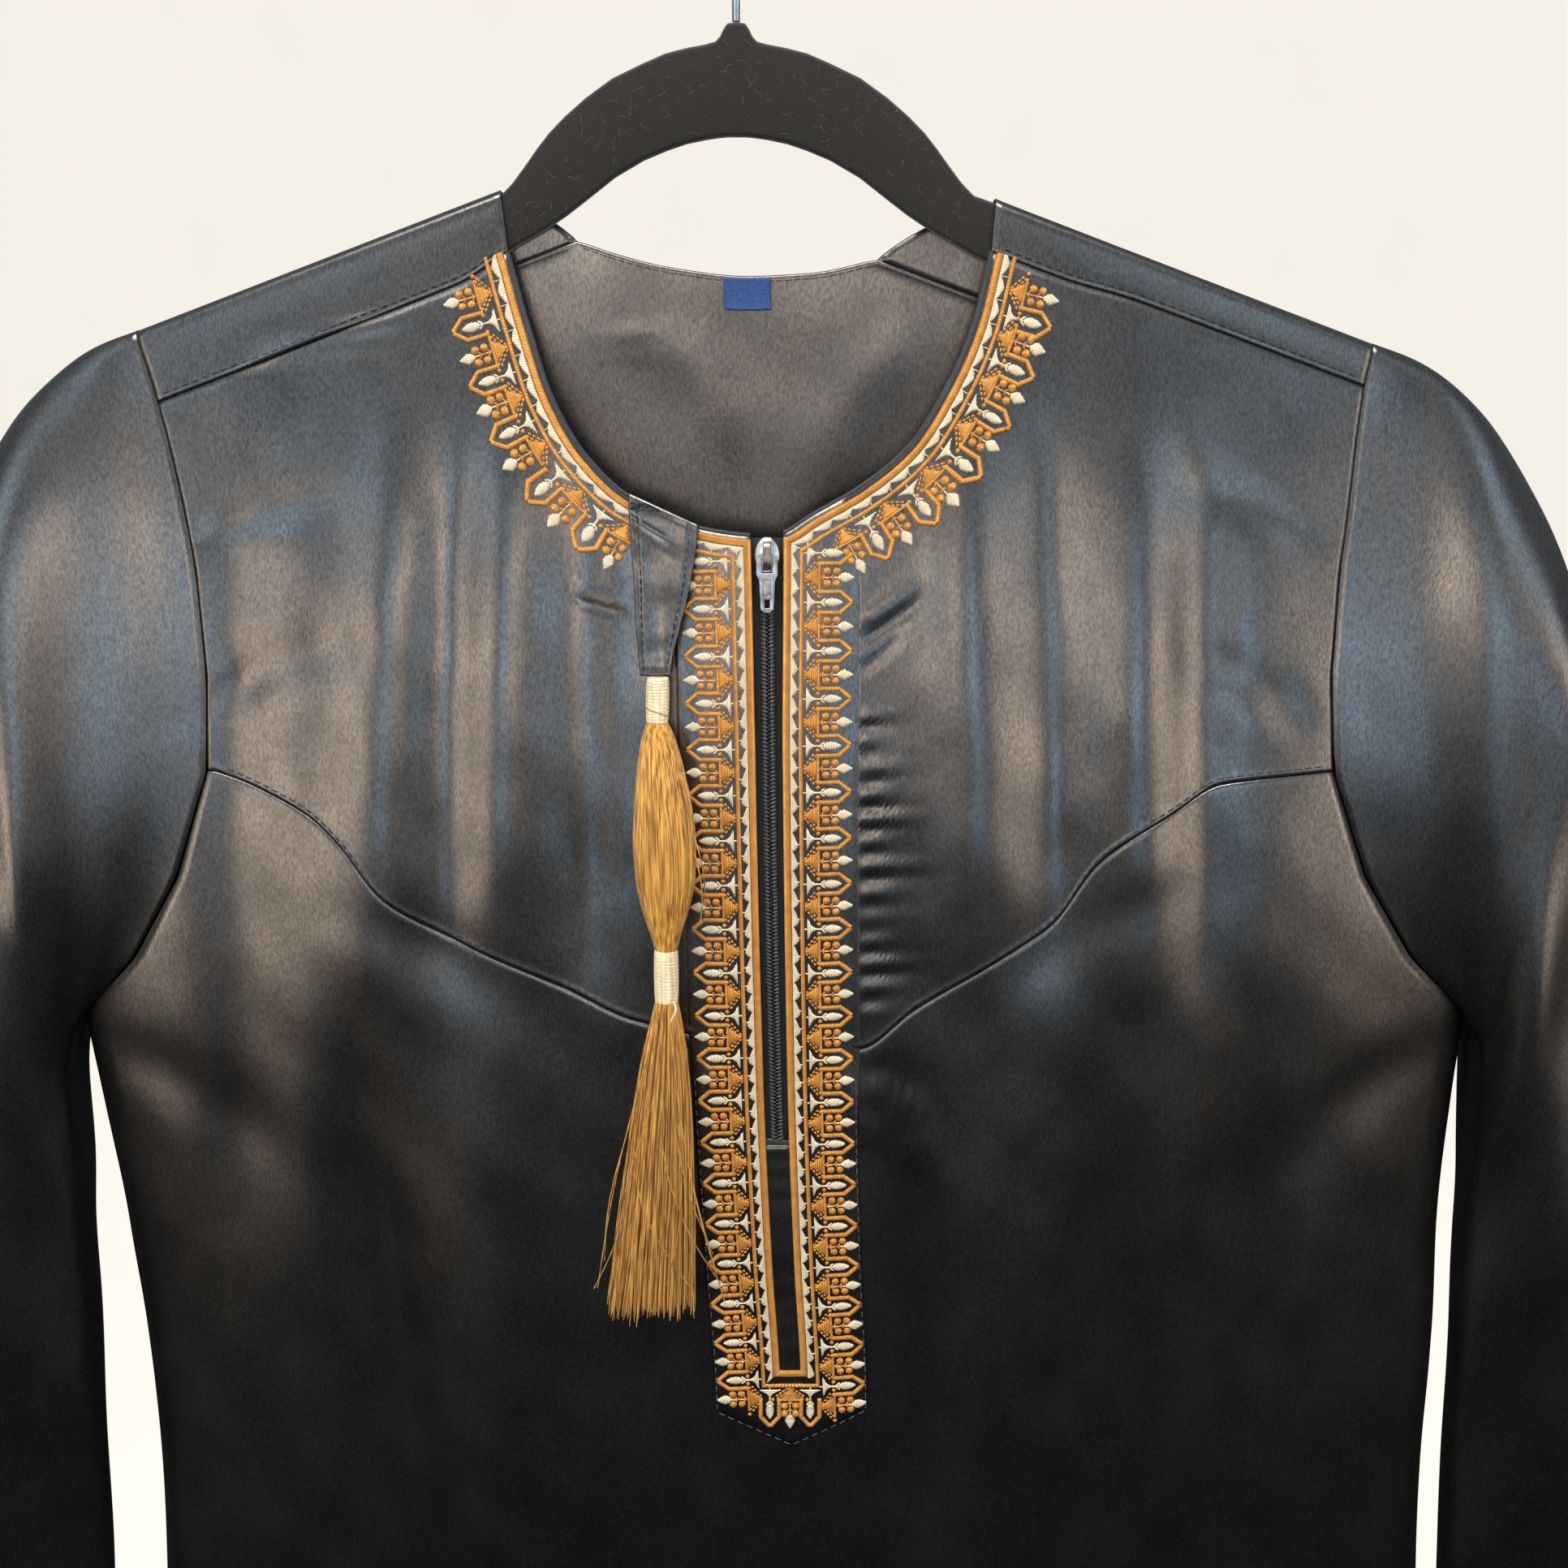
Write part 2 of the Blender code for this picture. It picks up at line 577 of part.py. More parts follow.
def yoke_back_foot(side, across):
    """Place on the back of a yoke column's foot, at its share across from the neck to the armhole."""
    neck_x = YOKE_BACK_NECK_X[side]
    neck_share = abs(neck_x - centre(back_neckline(neck_x))) / SHOULDER_HALF
    share = side * mix(neck_share, 1, across)
    z = -0.2
    for _ in range(40):
        z = ridge_z(back_x(share, z)) - YOKE_BACK_DROP[side]
    return back_x(share, z), z


def yoke_strip(side):
    """Points and normals of a strip over one shoulder: up from the front seam, over it and down the back."""
    shares = front_columns(side)[-len(YOKE_SHARES) :]
    line = front_top_line(side)
    columns = []
    for share, across in zip(shares, YOKE_SHARES):
        front_z = settle(side, share, line) + SEAM_GAP
        front_x = column_x(side, share, front_z)
        back_foot_x, back_z = yoke_back_foot(side, across)
        top_x = mix(YOKE_RIDGE_NECK_X[side], column_x(side, 1, -0.19), across)
        column = []
        for amount in (1.0, 0.66, 0.33):
            x = mix(top_x, front_x, amount)
            z = mix(ridge_z(x), front_z, amount) if amount < 1 else front_z
            column.append(on_face(FRONT, x, z))
        for degrees in (0, 45, 90, 135, 180):
            turn = math.radians(degrees)
            across_ridge, up = -math.cos(turn), math.sin(turn)
            point = np.array([top_x, RIDGE_HALF * across_ridge, ridge_z(top_x) + RIDGE_RISE * up])
            column.append((point, np.array([0, across_ridge, up])))
        for amount in (0.3, 0.62, 1.0):
            x = mix(top_x, back_foot_x, amount)
            z = mix(ridge_z(x), back_z, amount) if amount < 1 else back_z
            column.append(on_face(BACK, x, z))
        columns.append(column)
    grid = np.array(columns).transpose(1, 0, 2, 3)
    return grid[:, :, 0], grid[:, :, 1]


def sleeve(side, front_line, back_line, name, made_of):
    """A tube from the armhole to the open cuff. Its first ring follows the body's armhole edge."""
    first = SLEEVE_RINGS[0]
    grid = []
    for number, ring in enumerate(SLEEVE_RINGS):
        row = []
        for j in range(SLEEVE_SIDES):
            turn = 2 * math.pi * j / SLEEVE_SIDES
            down = (1 - math.cos(turn)) / 2
            line = front_line if math.sin(turn) > -1e-9 else back_line
            seam_z = mix(line[0][2], line[-1][2], down)
            seam_x, seam_y = (np.interp(-seam_z, -line[:, 2], line[:, axis]) for axis in (0, 1))
            if j == 0 or 2 * j == SLEEVE_SIDES:
                seam_y = 0.0
            across = mix(ring.top_x - first.top_x, ring.under_x - first.under_x, down)
            straight_x = mix(first.top_x, first.under_x, down)
            clear = 0.0006 + 0.0014 * down**2
            bend = ring.straight * (centre(seam_z) + side * straight_x - seam_x)
            x = seam_x + side * (across + clear) + bend
            z = seam_z + mix(ring.top_z - first.top_z, ring.under_z - first.under_z, down)
            at = 0.5 * number
            crease = sum(size * math.cos(count * turn + start + at) for count, start, size in SLEEVE_CREASES)
            free = -ring.depth * math.sin(turn) * (1 + crease * min(number / 4, 1))
            row.append((x, mix(seam_y, free, ring.straight), z))
        grid.append(row)
    return wall(name, grid, None, CLOTH, made_of, ring=True)


def placket():
    """Places of the panel that carries the embroidery, and its cloth cells: slot above, point at the foot."""
    slot = SLOT_HALF / PLACKET_HALF
    cross = (-1.0, -0.72, -0.45, -slot, 0.0, slot, 0.45, 0.72, 1.0)
    slot_end = ZIP_FOOT_Z - 0.002
    places = []
    for i in range(PLACKET_SLOT_ROWS + PLACKET_FOOT_ROWS + 1):
        row = []
        for share in cross:
            top = -0.26
            for _ in range(20):
                top = neckline(centre(top) + share * PLACKET_HALF) - 0.0006
            foot = mix(PLACKET_POINT_Z, PLACKET_FOOT_Z, abs(share))
            if i <= PLACKET_SLOT_ROWS:
                z = mix(top, slot_end, i / PLACKET_SLOT_ROWS)
            else:
                z = mix(slot_end, foot, (i - PLACKET_SLOT_ROWS) / PLACKET_FOOT_ROWS)
            half = mix(PLACKET_HALF, PLACKET_FOOT_HALF, ease((-0.30 - z) / 0.32))
            row.append((centre(z) + share * half, z))
        places.append(row)
    kept = np.ones((len(places) - 1, len(cross) - 1), bool)
    kept[:PLACKET_SLOT_ROWS, 3:5] = False
    return places, kept


def zip_strip(half, top):
    """Places of a straight strip of the zip."""
    heights = [mix(top, ZIP_FOOT_Z, i / 16) for i in range(17)]
    return [[(centre(z) + share * half, z) for share in (-1, 0, 1)] for z in heights]


def zip_axes():
    """Origin on the front's middle surface at the slider, and the directions out and up along the surface."""
    x = centre(SLIDER_Z)
    upper = on_front(x, SLIDER_Z + 0.004)
    lower = on_front(x, SLIDER_Z - 0.004)
    up = upper - lower
    up[0] = 0
    up /= np.linalg.norm(up)
    out = np.cross(up, (1, 0, 0))
    out *= -np.sign(out[1])
    return on_front(x, SLIDER_Z), out, up


def from_zip(x, out_by, up_by):
    origin, out, up = zip_axes()
    return origin + np.array([x, 0, 0]) + out * out_by + up * up_by


def slider(made_of):
    """The slider's body, with the strap that holds the pull standing on its face."""
    outline = [
        (0.0020, SLIDER_HIGH), (0.0037, 0.0048), (0.0046, 0.0016),
        (0.0047, -0.0012), (0.0038, -0.0045), (0.0034, SLIDER_LOW),
    ]
    outline += [(-x, up) for x, up in reversed(outline)]
    body = loft(
        "zip_slider",
        [[from_zip(x, out, up) for x, up in outline] for out in (SLIDER_BACK, SLIDER_FACE)],
        made_of,
    )
    # (out, up) round the strap's arch, which stands on the slider's face
    outside = [
        (0.0030, 0.0056), (0.0052, 0.0044), (0.0061, 0.0020),
        (0.0061, -0.0028), (0.0054, -0.0050), (0.0030, -0.0064),
    ]
    inside = [
        (0.0030, 0.0032), (0.0046, 0.0024), (0.0051, 0.0010),
        (0.0051, -0.0020), (0.0046, -0.0034), (0.0030, -0.0044),
    ]
    profile = outside + inside[::-1]
    strap = loft(
        "zip_strap_shape",
        [[from_zip(x, out, up) for out, up in profile] for x in (-STRAP_HALF, STRAP_HALF)],
        made_of,
    )
    strap.hide_render = True
    strap.display_type = "WIRE"
    join = body.modifiers.new("strap", "BOOLEAN")
    join.operation = "UNION"
    join.object = strap
    return body


def pull(made_of):
    """The pull tab: a bar under the strap, two rails, a tapered plate and a small window at its end."""
    # distance from the pivot downwards, half width, half width of the inner cell
    rows = [
        (-0.0006, 0.0036, 0.0022), (0.0006, 0.0038, 0.0022), (0.0066, 0.0038, 0.0022),
        (0.0092, 0.0028, 0.0013), (0.0152, 0.0025, 0.0012), (0.0190, 0.0023, 0.0012),
        (0.0206, 0.0022, 0.0012),
    ]
    grid = []
    for down, half, inner in rows:
        up = PULL_AXIS_UP - down
        grid.append([from_zip(x, PULL_AXIS_OUT, up) for x in (-half, -inner, inner, half)])
    kept = np.ones((len(rows) - 1, 3), bool)
    kept[1][1] = False
    kept[4][1] = False
    pivot = from_zip(0, PULL_AXIS_OUT, PULL_AXIS_UP)
    tab = wall("zip_pull", np.array(grid) - pivot, None, PULL_THICK, made_of, kept)
    tab.location = pivot
    return tab


def hanger(made_of):
    """Rounded slab that follows the outline from one tip over the hook's foot to the other tip."""
    rows = [(-x, top, foot) for x, top, foot in reversed(HANGER_ROWS[1:])] + HANGER_ROWS
    sections = []
    for x, top, foot in rows:
        middle, half_high = (top + foot) / 2, (top - foot) / 2
        corner = min(0.0022, half_high * 0.6)
        section = []
        for turn in range(0, 360, 30):
            c, s = math.cos(math.radians(turn)), math.sin(math.radians(turn))
            y = math.copysign(HANGER_HALF_THICK - corner, c) + corner * c if abs(c) > 1e-6 else 0.0
            z = math.copysign(half_high - corner, s) + corner * s if abs(s) > 1e-6 else 0.0
            section.append((x, y, middle + z))
        sections.append(section)
    return loft("hanger_body", sections, made_of, sharp=50)


def hook(made_of):
    """Steel wire: a straight stem, a short bend and the open hook, whose inside top rests at the origin."""
    middle_z = HOOK_WIRE / 2 - HOOK_RADIUS
    route = [(0.0, STEM_FOOT_Z), (0.0, -0.074), (0.0, -0.062)]
    start = math.radians(-58)
    enter = np.array([HOOK_RADIUS * math.cos(start), middle_z + HOOK_RADIUS * math.sin(start)])
    heading = np.array([-math.sin(start), math.cos(start)])
    foot, foot_pull = np.array([0.0, -0.062]), np.array([0.0, -0.052])
    enter_pull = enter - heading * 0.008
    for k in range(1, 6):
        t = k / 6
        near_foot = (1 - t) ** 3 * foot + 3 * t * (1 - t) ** 2 * foot_pull
        near_bend = 3 * t * t * (1 - t) * enter_pull + t**3 * enter
        route.append(tuple(near_foot + near_bend))
    for k in range(21):
        angle = start + math.radians(262) * k / 20
        route.append((HOOK_RADIUS * math.cos(angle), middle_z + HOOK_RADIUS * math.sin(angle)))
    curve = bpy.data.curves.new("hanger_hook", "CURVE")
    curve.dimensions = "3D"
    curve.bevel_depth = HOOK_WIRE / 2
    curve.bevel_resolution = 2
    curve.use_fill_caps = True
    line = curve.splines.new("POLY")
    line.points.add(len(route) - 1)
    for point, (x, z) in zip(line.points, route):
        point.co = (x, 0, z, 1)
    curve.materials.append(made_of)
    placed = bpy.data.objects.new("hanger_hook", curve)
    bpy.context.scene.collection.objects.link(placed)
    return placed


def oval(x, y, z, half_x, half_y, sides=16):
    turns = [2 * math.pi * k / sides for k in range(sides)]
    return [(x + half_x * math.cos(turn), y + half_y * math.sin(turn), z) for turn in turns]


def tab(made_of):
    grid = []
    for left_x, left_z, right_x, right_z, out in TAB_ROWS:
        row = []
        for k in range(5):
            x, z = mix(left_x, right_x, k / 4), mix(left_z, right_z, k / 4)
            row.append(on_front(x, z, out + 0.0007 * math.sin(math.pi * k / 4)))
        grid.append(row)
    return wall("tassel_tab", grid, None, TRIM, made_of)


def binding(name, span, middles, half, made_of):
    """A thread binding round the tassel, swelling a little in the middle."""
    sections = []
    for share, swell in ((0, 0.93), (0.12, 1.0), (0.5, 1.03), (0.88, 1.0), (1, 0.93)):
        z = mix(span[0], span[1], share)
        sections.append(oval(mix(*middles, share), tassel_y(-z), z, half * swell, half * 0.9 * swell))
    return loft(name, sections, made_of, sharp=50)


def bulb(made_of):
    """Gold threads gathered between the two bindings."""
    sections = [oval(x, tassel_y(-z), z, half_x, half_y) for z, x, half_x, half_y in TASSEL_BULB]
    return loft("tassel_bulb", sections, made_of, sharp=50)


def skirt(made_of):
    """The tassel's loose end: a bound head with locks that stand apart below it."""
    head_z, neck_z = LOWER_WRAP[0][1] - SEAM_GAP, -0.4437
    turns = [2 * math.pi * k / SKIRT_SECTORS for k in range(SKIRT_SECTORS)]
    unit = [[(r * math.cos(turn), r * math.sin(turn)) for turn in turns] for r in SKIRT_RINGS]

    def placed(u, v, z, x, scale_x, scale_y):
        return (x + u * SKIRT_HEAD_HALF * scale_x, tassel_y(-z) + v * SKIRT_HEAD_HALF * 0.9 * scale_y, z)

    points, faces = [], []

    def add(u, v, z, x, scale_x=1.0, scale_y=1.0):
        points.append(placed(u, v, z, x, scale_x, scale_y))
        return len(points) - 1

    top = [add(u, v, head_z, -0.0281, 0.92, 0.92) for u, v in unit[-1]]
    grid = [[add(u, v, neck_z, -0.0282) for u, v in ring] for ring in unit]
    faces.append(tuple(top))
    faces.append(tuple(reversed(grid[0])))
    for j in range(SKIRT_SECTORS):
        k = (j + 1) % SKIRT_SECTORS
        faces.append((top[k], top[j], grid[-1][j], grid[-1][k]))
    for r in range(len(SKIRT_RINGS) - 1):
        for j in range(SKIRT_SECTORS):
            k = (j + 1) % SKIRT_SECTORS
            cell = [grid[r][j], grid[r + 1][j], grid[r + 1][k], grid[r][k]]
            flat = [unit[r][j], unit[r + 1][j], unit[r + 1][k], unit[r][k]]
            middle = (sum(p[0] for p in flat) / 4, sum(p[1] for p in flat) / 4)
            ring = cell
            uneven = math.sin(7.3 * j + 2.9 * r)
            levels = [(neck_z, -0.0282, 1.0, 1.0)] + SKIRT_ROWS
            for number, (z, x, scale_x, scale_y) in enumerate(levels):
                keep = (0.80, 0.70, 0.55, 0.44, 0.34)[number]
                if number == len(levels) - 1:
                    z += 0.0045 * uneven
                corners = [(mix(middle[0], u, keep), mix(middle[1], v, keep)) for u, v in flat]
                lower = [add(u, v, z, x, scale_x, scale_y) for u, v in corners]
                for a in range(4):
                    b = (a + 1) % 4
                    faces.append((ring[a], ring[b], lower[b], lower[a]))
                ring = lower
            faces.append(tuple(reversed(ring)))
    return place_mesh("tassel_skirt", points, faces, made_of)


def neck_label():
    """Places of a small woven label sewn inside the back neck, left bare."""
    across = [LABEL_X + share * LABEL_HALF for share in (-1, -0.33, 0.33, 1)]
    return [[(x, back_neckline(x) - 0.0006 - LABEL_HEIGHT * down) for x in across] for down in (0, 0.5, 1)]


def main():
    for left_over in list(bpy.data.objects):
        bpy.data.objects.remove(left_over)

    satin = material("charcoal_satin", (0.030, 0.033, 0.040), 0.38)
    flock = material("black_flock", (0.012, 0.012, 0.013), 0.95)
    steel = material("polished_steel", (0.75, 0.76, 0.78), 0.22, 1.0)
    zinc = material("dark_nickel", (0.40, 0.41, 0.43), 0.30, 1.0)
    tape = material("zip_tape_black", (0.010, 0.010, 0.012), 0.85)
    nylon = material("zip_coil_black", (0.012, 0.013, 0.016), 0.40)
    gold = material("gold_thread", (0.62, 0.33, 0.10), 0.40)
    cream = material("cream_thread", (0.83, 0.72, 0.50), 0.50)
    blue = material("blue_label", (0.03, 0.09, 0.33), 0.60)

    hook(steel)
    hanger(flock)
    upper = {-1: lay(FRONT, upper_front(-1)), 1: lay(FRONT, upper_front(1))}
    wall("front_upper_left", *upper[-1], CLOTH, satin)
    wall("front_upper_right", *upper[1], CLOTH, satin)

    underarm = len(ARMHOLE_LOW) - 1
    lower, lower_normals = lay(FRONT, lower_front())
    turn_side_seams(lower_normals, underarm)
    kept = np.ones((lower.shape[0] - 1, lower.shape[1] - 1), bool)
    kept[:2, lower.shape[1] // 2 - 1] = False
    wall("front_lower", lower, lower_normals, CLOTH, satin, kept)

    back, back_normals = lay(BACK, back_panel())
    turn_side_seams(back_normals, BACK_UPPER_ROWS + underarm)
    wall("back", back, back_normals, CLOTH, satin)

    yokes = {-1: yoke_strip(-1), 1: yoke_strip(1)}
    wall("shoulder_yoke_left", *yokes[-1], CLOTH, satin)
    wall("shoulder_yoke_right", *yokes[1], CLOTH, satin)

    for side, edge, name in ((-1, 0, "sleeve_left"), (1, -1, "sleeve_right")):
        yoke = yokes[side][0][:, -1]
        top = len(yoke) // 2
        front_line = np.concatenate([yoke[top::-1], upper[side][0][:, -1], lower[: underarm + 1, edge]])
        back_line = np.concatenate([yoke[top:], back[: BACK_UPPER_ROWS + underarm + 1, edge]])
        sleeve(side, front_line, back_line, name, satin)

    places, kept = placket()
    wall("placket", *lay(FRONT, places, CLOTH / 2 + LAYER_GAP + TRIM / 2), TRIM, satin, kept)
    tape_out = -(CLOTH / 2 + LAYER_GAP + TRIM / 2)
    wall("zip_tape", *lay(FRONT, zip_strip(TAPE_HALF, ZIP_TOP_Z - 0.0010), tape_out), TRIM, tape)
    chain_out = tape_out + TRIM / 2 + SEAM_GAP + CHAIN_THICK / 2
    chain_top = SLIDER_Z + SLIDER_LOW - SEAM_GAP - 0.0002
    wall("zip_chain", *lay(FRONT, zip_strip(CHAIN_HALF, chain_top), chain_out), CHAIN_THICK, nylon)
    slider(zinc)
    pull(zinc)
    tab(satin)
    binding("tassel_wrap_upper", *UPPER_WRAP, cream)
    bulb(gold)
    binding("tassel_wrap_lower", *LOWER_WRAP, cream)
    skirt(gold)
    wall("neck_label", *lay(BACK, neck_label(), -(CLOTH / 2 + SEAM_GAP + TRIM / 2)), TRIM, blue)


main()
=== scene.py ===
"""Looks of the satin thobe on its hanger, with its light, camera and plain floor.

Metres, in the frame of the CAD model: the garment's front faces -Y and the rail is at the origin.
The charts of the embroidery are in millimetres.
"""

import math
from collections import namedtuple

import bpy
import numpy as np
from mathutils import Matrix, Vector

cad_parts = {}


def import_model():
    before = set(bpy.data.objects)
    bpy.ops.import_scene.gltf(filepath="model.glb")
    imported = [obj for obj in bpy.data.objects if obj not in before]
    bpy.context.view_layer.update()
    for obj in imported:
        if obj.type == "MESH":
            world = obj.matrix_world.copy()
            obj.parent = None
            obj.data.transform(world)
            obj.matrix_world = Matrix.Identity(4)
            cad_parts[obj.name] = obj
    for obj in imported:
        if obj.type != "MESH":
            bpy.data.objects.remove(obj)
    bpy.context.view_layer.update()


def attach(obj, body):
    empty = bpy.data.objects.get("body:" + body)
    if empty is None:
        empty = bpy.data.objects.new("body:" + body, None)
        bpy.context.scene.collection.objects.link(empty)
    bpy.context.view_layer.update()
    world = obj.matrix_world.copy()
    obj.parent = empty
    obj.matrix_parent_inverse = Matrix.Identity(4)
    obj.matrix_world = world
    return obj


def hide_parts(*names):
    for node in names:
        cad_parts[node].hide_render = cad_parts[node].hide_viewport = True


# Camera
CAMERA_PLACE = (0.0171, -0.6297, -0.2100)
CAMERA_DOWN = 13.9
CAMERA_LENS = 37.27

# Cloth and seams, as in the CAD model
CLOTH = 0.0012
SHEET = 0.0010
SEAM_GAP = 0.0003
SHOULDER_HALF = 0.229
UNDERARM_Z = -0.463
HEM_Z = -1.469
NECK_RIDGE_X = 0.0873
NECK_RIDGE_Z = -0.1455
SHOULDER_SLOPE = 0.361
RIDGE_HALF = 0.0039
RIDGE_RISE = 0.0030
HOOK_WIRE = 0.0030
HOOK_RADIUS = 0.0235
STEM_FOOT_Z = -0.0846
HANGER_HALF_THICK = 0.0028
LINT_RADIUS = 0.00003

# Placket and zip
SLOT_HALF = 0.0062
PLACKET_HALF = 0.0350
PLACKET_FOOT_HALF = 0.0322
PLACKET_FOOT_Z = -0.6255
PLACKET_POINT_Z = -0.6435
PLACKET_FACE = 0.0019
SLOT_END_Z = -0.5070
SLOT_FOOT_Z = -0.6072
TAPE_HALF = 0.0125
TAPE_OUT = -0.0011
ZIP_TOP_Z = -0.2655
ZIP_FOOT_Z = -0.5050
SLIDER_Z = -0.2722
PULL_AXIS_OUT = 0.0041
PULL_AXIS_UP = -0.0003

# Columns of the front: distances from its middle under the neckline, then shares of the way under the yoke
NECK_COLUMNS = (0.0062, 0.0205, 0.0358, 0.0430, 0.0525, 0.0625, 0.0720, 0.0800, 0.0850)
YOKE_SHARES = (0.0, 0.10, 0.20, 0.30, 0.40, 0.50, 0.60, 0.70, 0.80, 0.88, 0.95, 1.0)
NECK_CORNER = 0.0005

Fold = namedtuple("Fold", "x_top z_top x_foot z_foot width_top width_foot height")
Ring = namedtuple("Ring", "top_x top_z under_x under_z depth straight")
Crease = namedtuple("Crease", "x0 z0 x1 z1 width height bow")
Face = namedtuple("Face", "depth facing")


def mix(a, b, share):
    return a + (b - a) * share


def ease(share):
    share = np.clip(share, 0.0, 1.0)
    return share * share * (3 - 2 * share)


def unit(vectors):
    return vectors / np.maximum(np.linalg.norm(vectors, axis=-1, keepdims=True), 1e-12)


def smooth_curve(rows):
    """A function that passes smoothly through the (place, value) rows, with no overshoot."""
    places, values = np.array(rows, float).T
    slopes = np.diff(values) / np.diff(places)
    together = slopes[:-1] * slopes[1:]
    totals = np.where(together > 0, slopes[:-1] + slopes[1:], 1.0)
    inner = np.where(together > 0, 2 * together / totals, 0.0)
    tangents = np.concatenate([slopes[:1], inner, slopes[-1:]])

    def value(at):
        at = np.clip(at, places[0], places[-1])
        i = np.clip(np.searchsorted(places, at, side="right") - 1, 0, len(slopes) - 1)
        span = places[i + 1] - places[i]
        t = (at - places[i]) / span
        rise = (1 + 2 * t) * (1 - t) ** 2 * values[i] + t * t * (3 - 2 * t) * values[i + 1]
        return rise + span * (t * (1 - t) ** 2 * tangents[i] - t * t * (1 - t) * tangents[i + 1])

    return value


def curves(rows, places=None):
    """A smooth curve for each column of the rows, over these places or else the rows' numbers."""
    rows = np.array(rows, float)
    places = range(len(rows)) if places is None else places
    return [smooth_curve(list(zip(places, column))) for column in rows.T]


# Line down the middle of the front, which leans a little: (depth below the rail, x)
centre_at_depth = smooth_curve([
    (0.14, 0.0040), (0.20, 0.0070), (0.27, 0.0108), (0.34, 0.0113), (0.48, 0.0137),
    (0.56, 0.0168), (0.61, 0.0197), (0.64, 0.0203), (1.47, 0.0215),
])

# Half width of the armhole edge, then of the side seam: (depth below the rail, half width)
EDGE_ROWS = [
    (0.185, 0.2305), (0.193, 0.2290), (0.23, 0.2235), (0.28, 0.2175), (0.32, 0.2160),
    (0.357, 0.2185), (0.400, 0.2340), (0.435, 0.2560), (0.463, 0.2850),
]
side_half = smooth_curve([
    (0.463, 0.285), (0.50, 0.282), (0.56, 0.279), (0.65, 0.279),
    (0.80, 0.288), (1.0, 0.308), (1.25, 0.338), (1.47, 0.365),
])

# How far the cloth stands forward and back of the hanger's plane: (distance below the shoulder ridge, depth)
front_fullness = smooth_curve([
    (0, 0), (0.02, 0.004), (0.05, 0.0095), (0.1, 0.0175), (0.15, 0.023),
    (0.25, 0.0285), (0.4, 0.032), (0.8, 0.040), (1.34, 0.052),
])
back_fullness = smooth_curve([
    (0, 0), (0.02, 0.0025), (0.05, 0.006), (0.1, 0.011),
    (0.25, 0.019), (0.4, 0.024), (0.8, 0.034), (1.34, 0.048),
])

# Front neckline, left to right: (x, z)
NECKLINE = [
    (-0.0843, -0.1635), (-0.0772, -0.1894), (-0.0686, -0.2155), (-0.0567, -0.2359), (-0.0403, -0.2511),
    (-0.0118, -0.2630), (0.0048, -0.2652), (0.0108, -0.2655), (0.0168, -0.2642), (0.0273, -0.2579),
    (0.0454, -0.2476), (0.0633, -0.2330), (0.0767, -0.2126), (0.0870, -0.1894), (0.0933, -0.1635),
]
BACK_NECKLINE = [
    (-0.0600, -0.1591), (-0.0456, -0.1639), (-0.0244, -0.1688),
    (0.0031, -0.1717), (0.0275, -0.1706), (0.0520, -0.1658),
]
neckline = smooth_curve(NECKLINE)
back_neckline = smooth_curve(BACK_NECKLINE)

# Yoke strips: their seams lie this far below the ridge, (distance from the middle, drop)
yoke_front_drop = {
    -1: smooth_curve([(0.0843, 0.0191), (0.104, 0.024), (0.24, 0.025)]),
    1: smooth_curve([(0.0933, 0.0158), (0.1169, 0.0158), (0.15, 0.0135), (0.24, 0.0130)]),
}
YOKE_BACK_DROP = {-1: 0.0235, 1: 0.0330}
YOKE_RIDGE_NECK_X = {-1: -0.0863, 1: 0.0945}
YOKE_FRONT_NECK_X = {-1: NECKLINE[0][0], 1: NECKLINE[-1][0]}
YOKE_BACK_NECK_X = {-1: BACK_NECKLINE[0][0], 1: BACK_NECKLINE[-1][0]}

# Chest seam across the whole front, left to right: (x, z)
chest_seam = smooth_curve([
    (-0.2050, -0.3570), (-0.1870, -0.3635), (-0.1680, -0.3730), (-0.1542, -0.3857), (-0.1400, -0.4049),
    (-0.1307, -0.4122), (-0.1119, -0.4225), (-0.0678, -0.4421), (-0.0425, -0.4543), (0.0030, -0.4640),
    (0.0466, -0.4666), (0.0685, -0.4503), (0.0926, -0.4355), (0.1086, -0.4258), (0.1206, -0.4179),
    (0.1261, -0.4121), (0.1307, -0.4046), (0.1353, -0.3969), (0.1399, -0.3907), (0.1462, -0.3851),
    (0.1541, -0.3795), (0.1684, -0.3715), (0.1875, -0.3612), (0.2285, -0.3570),
])

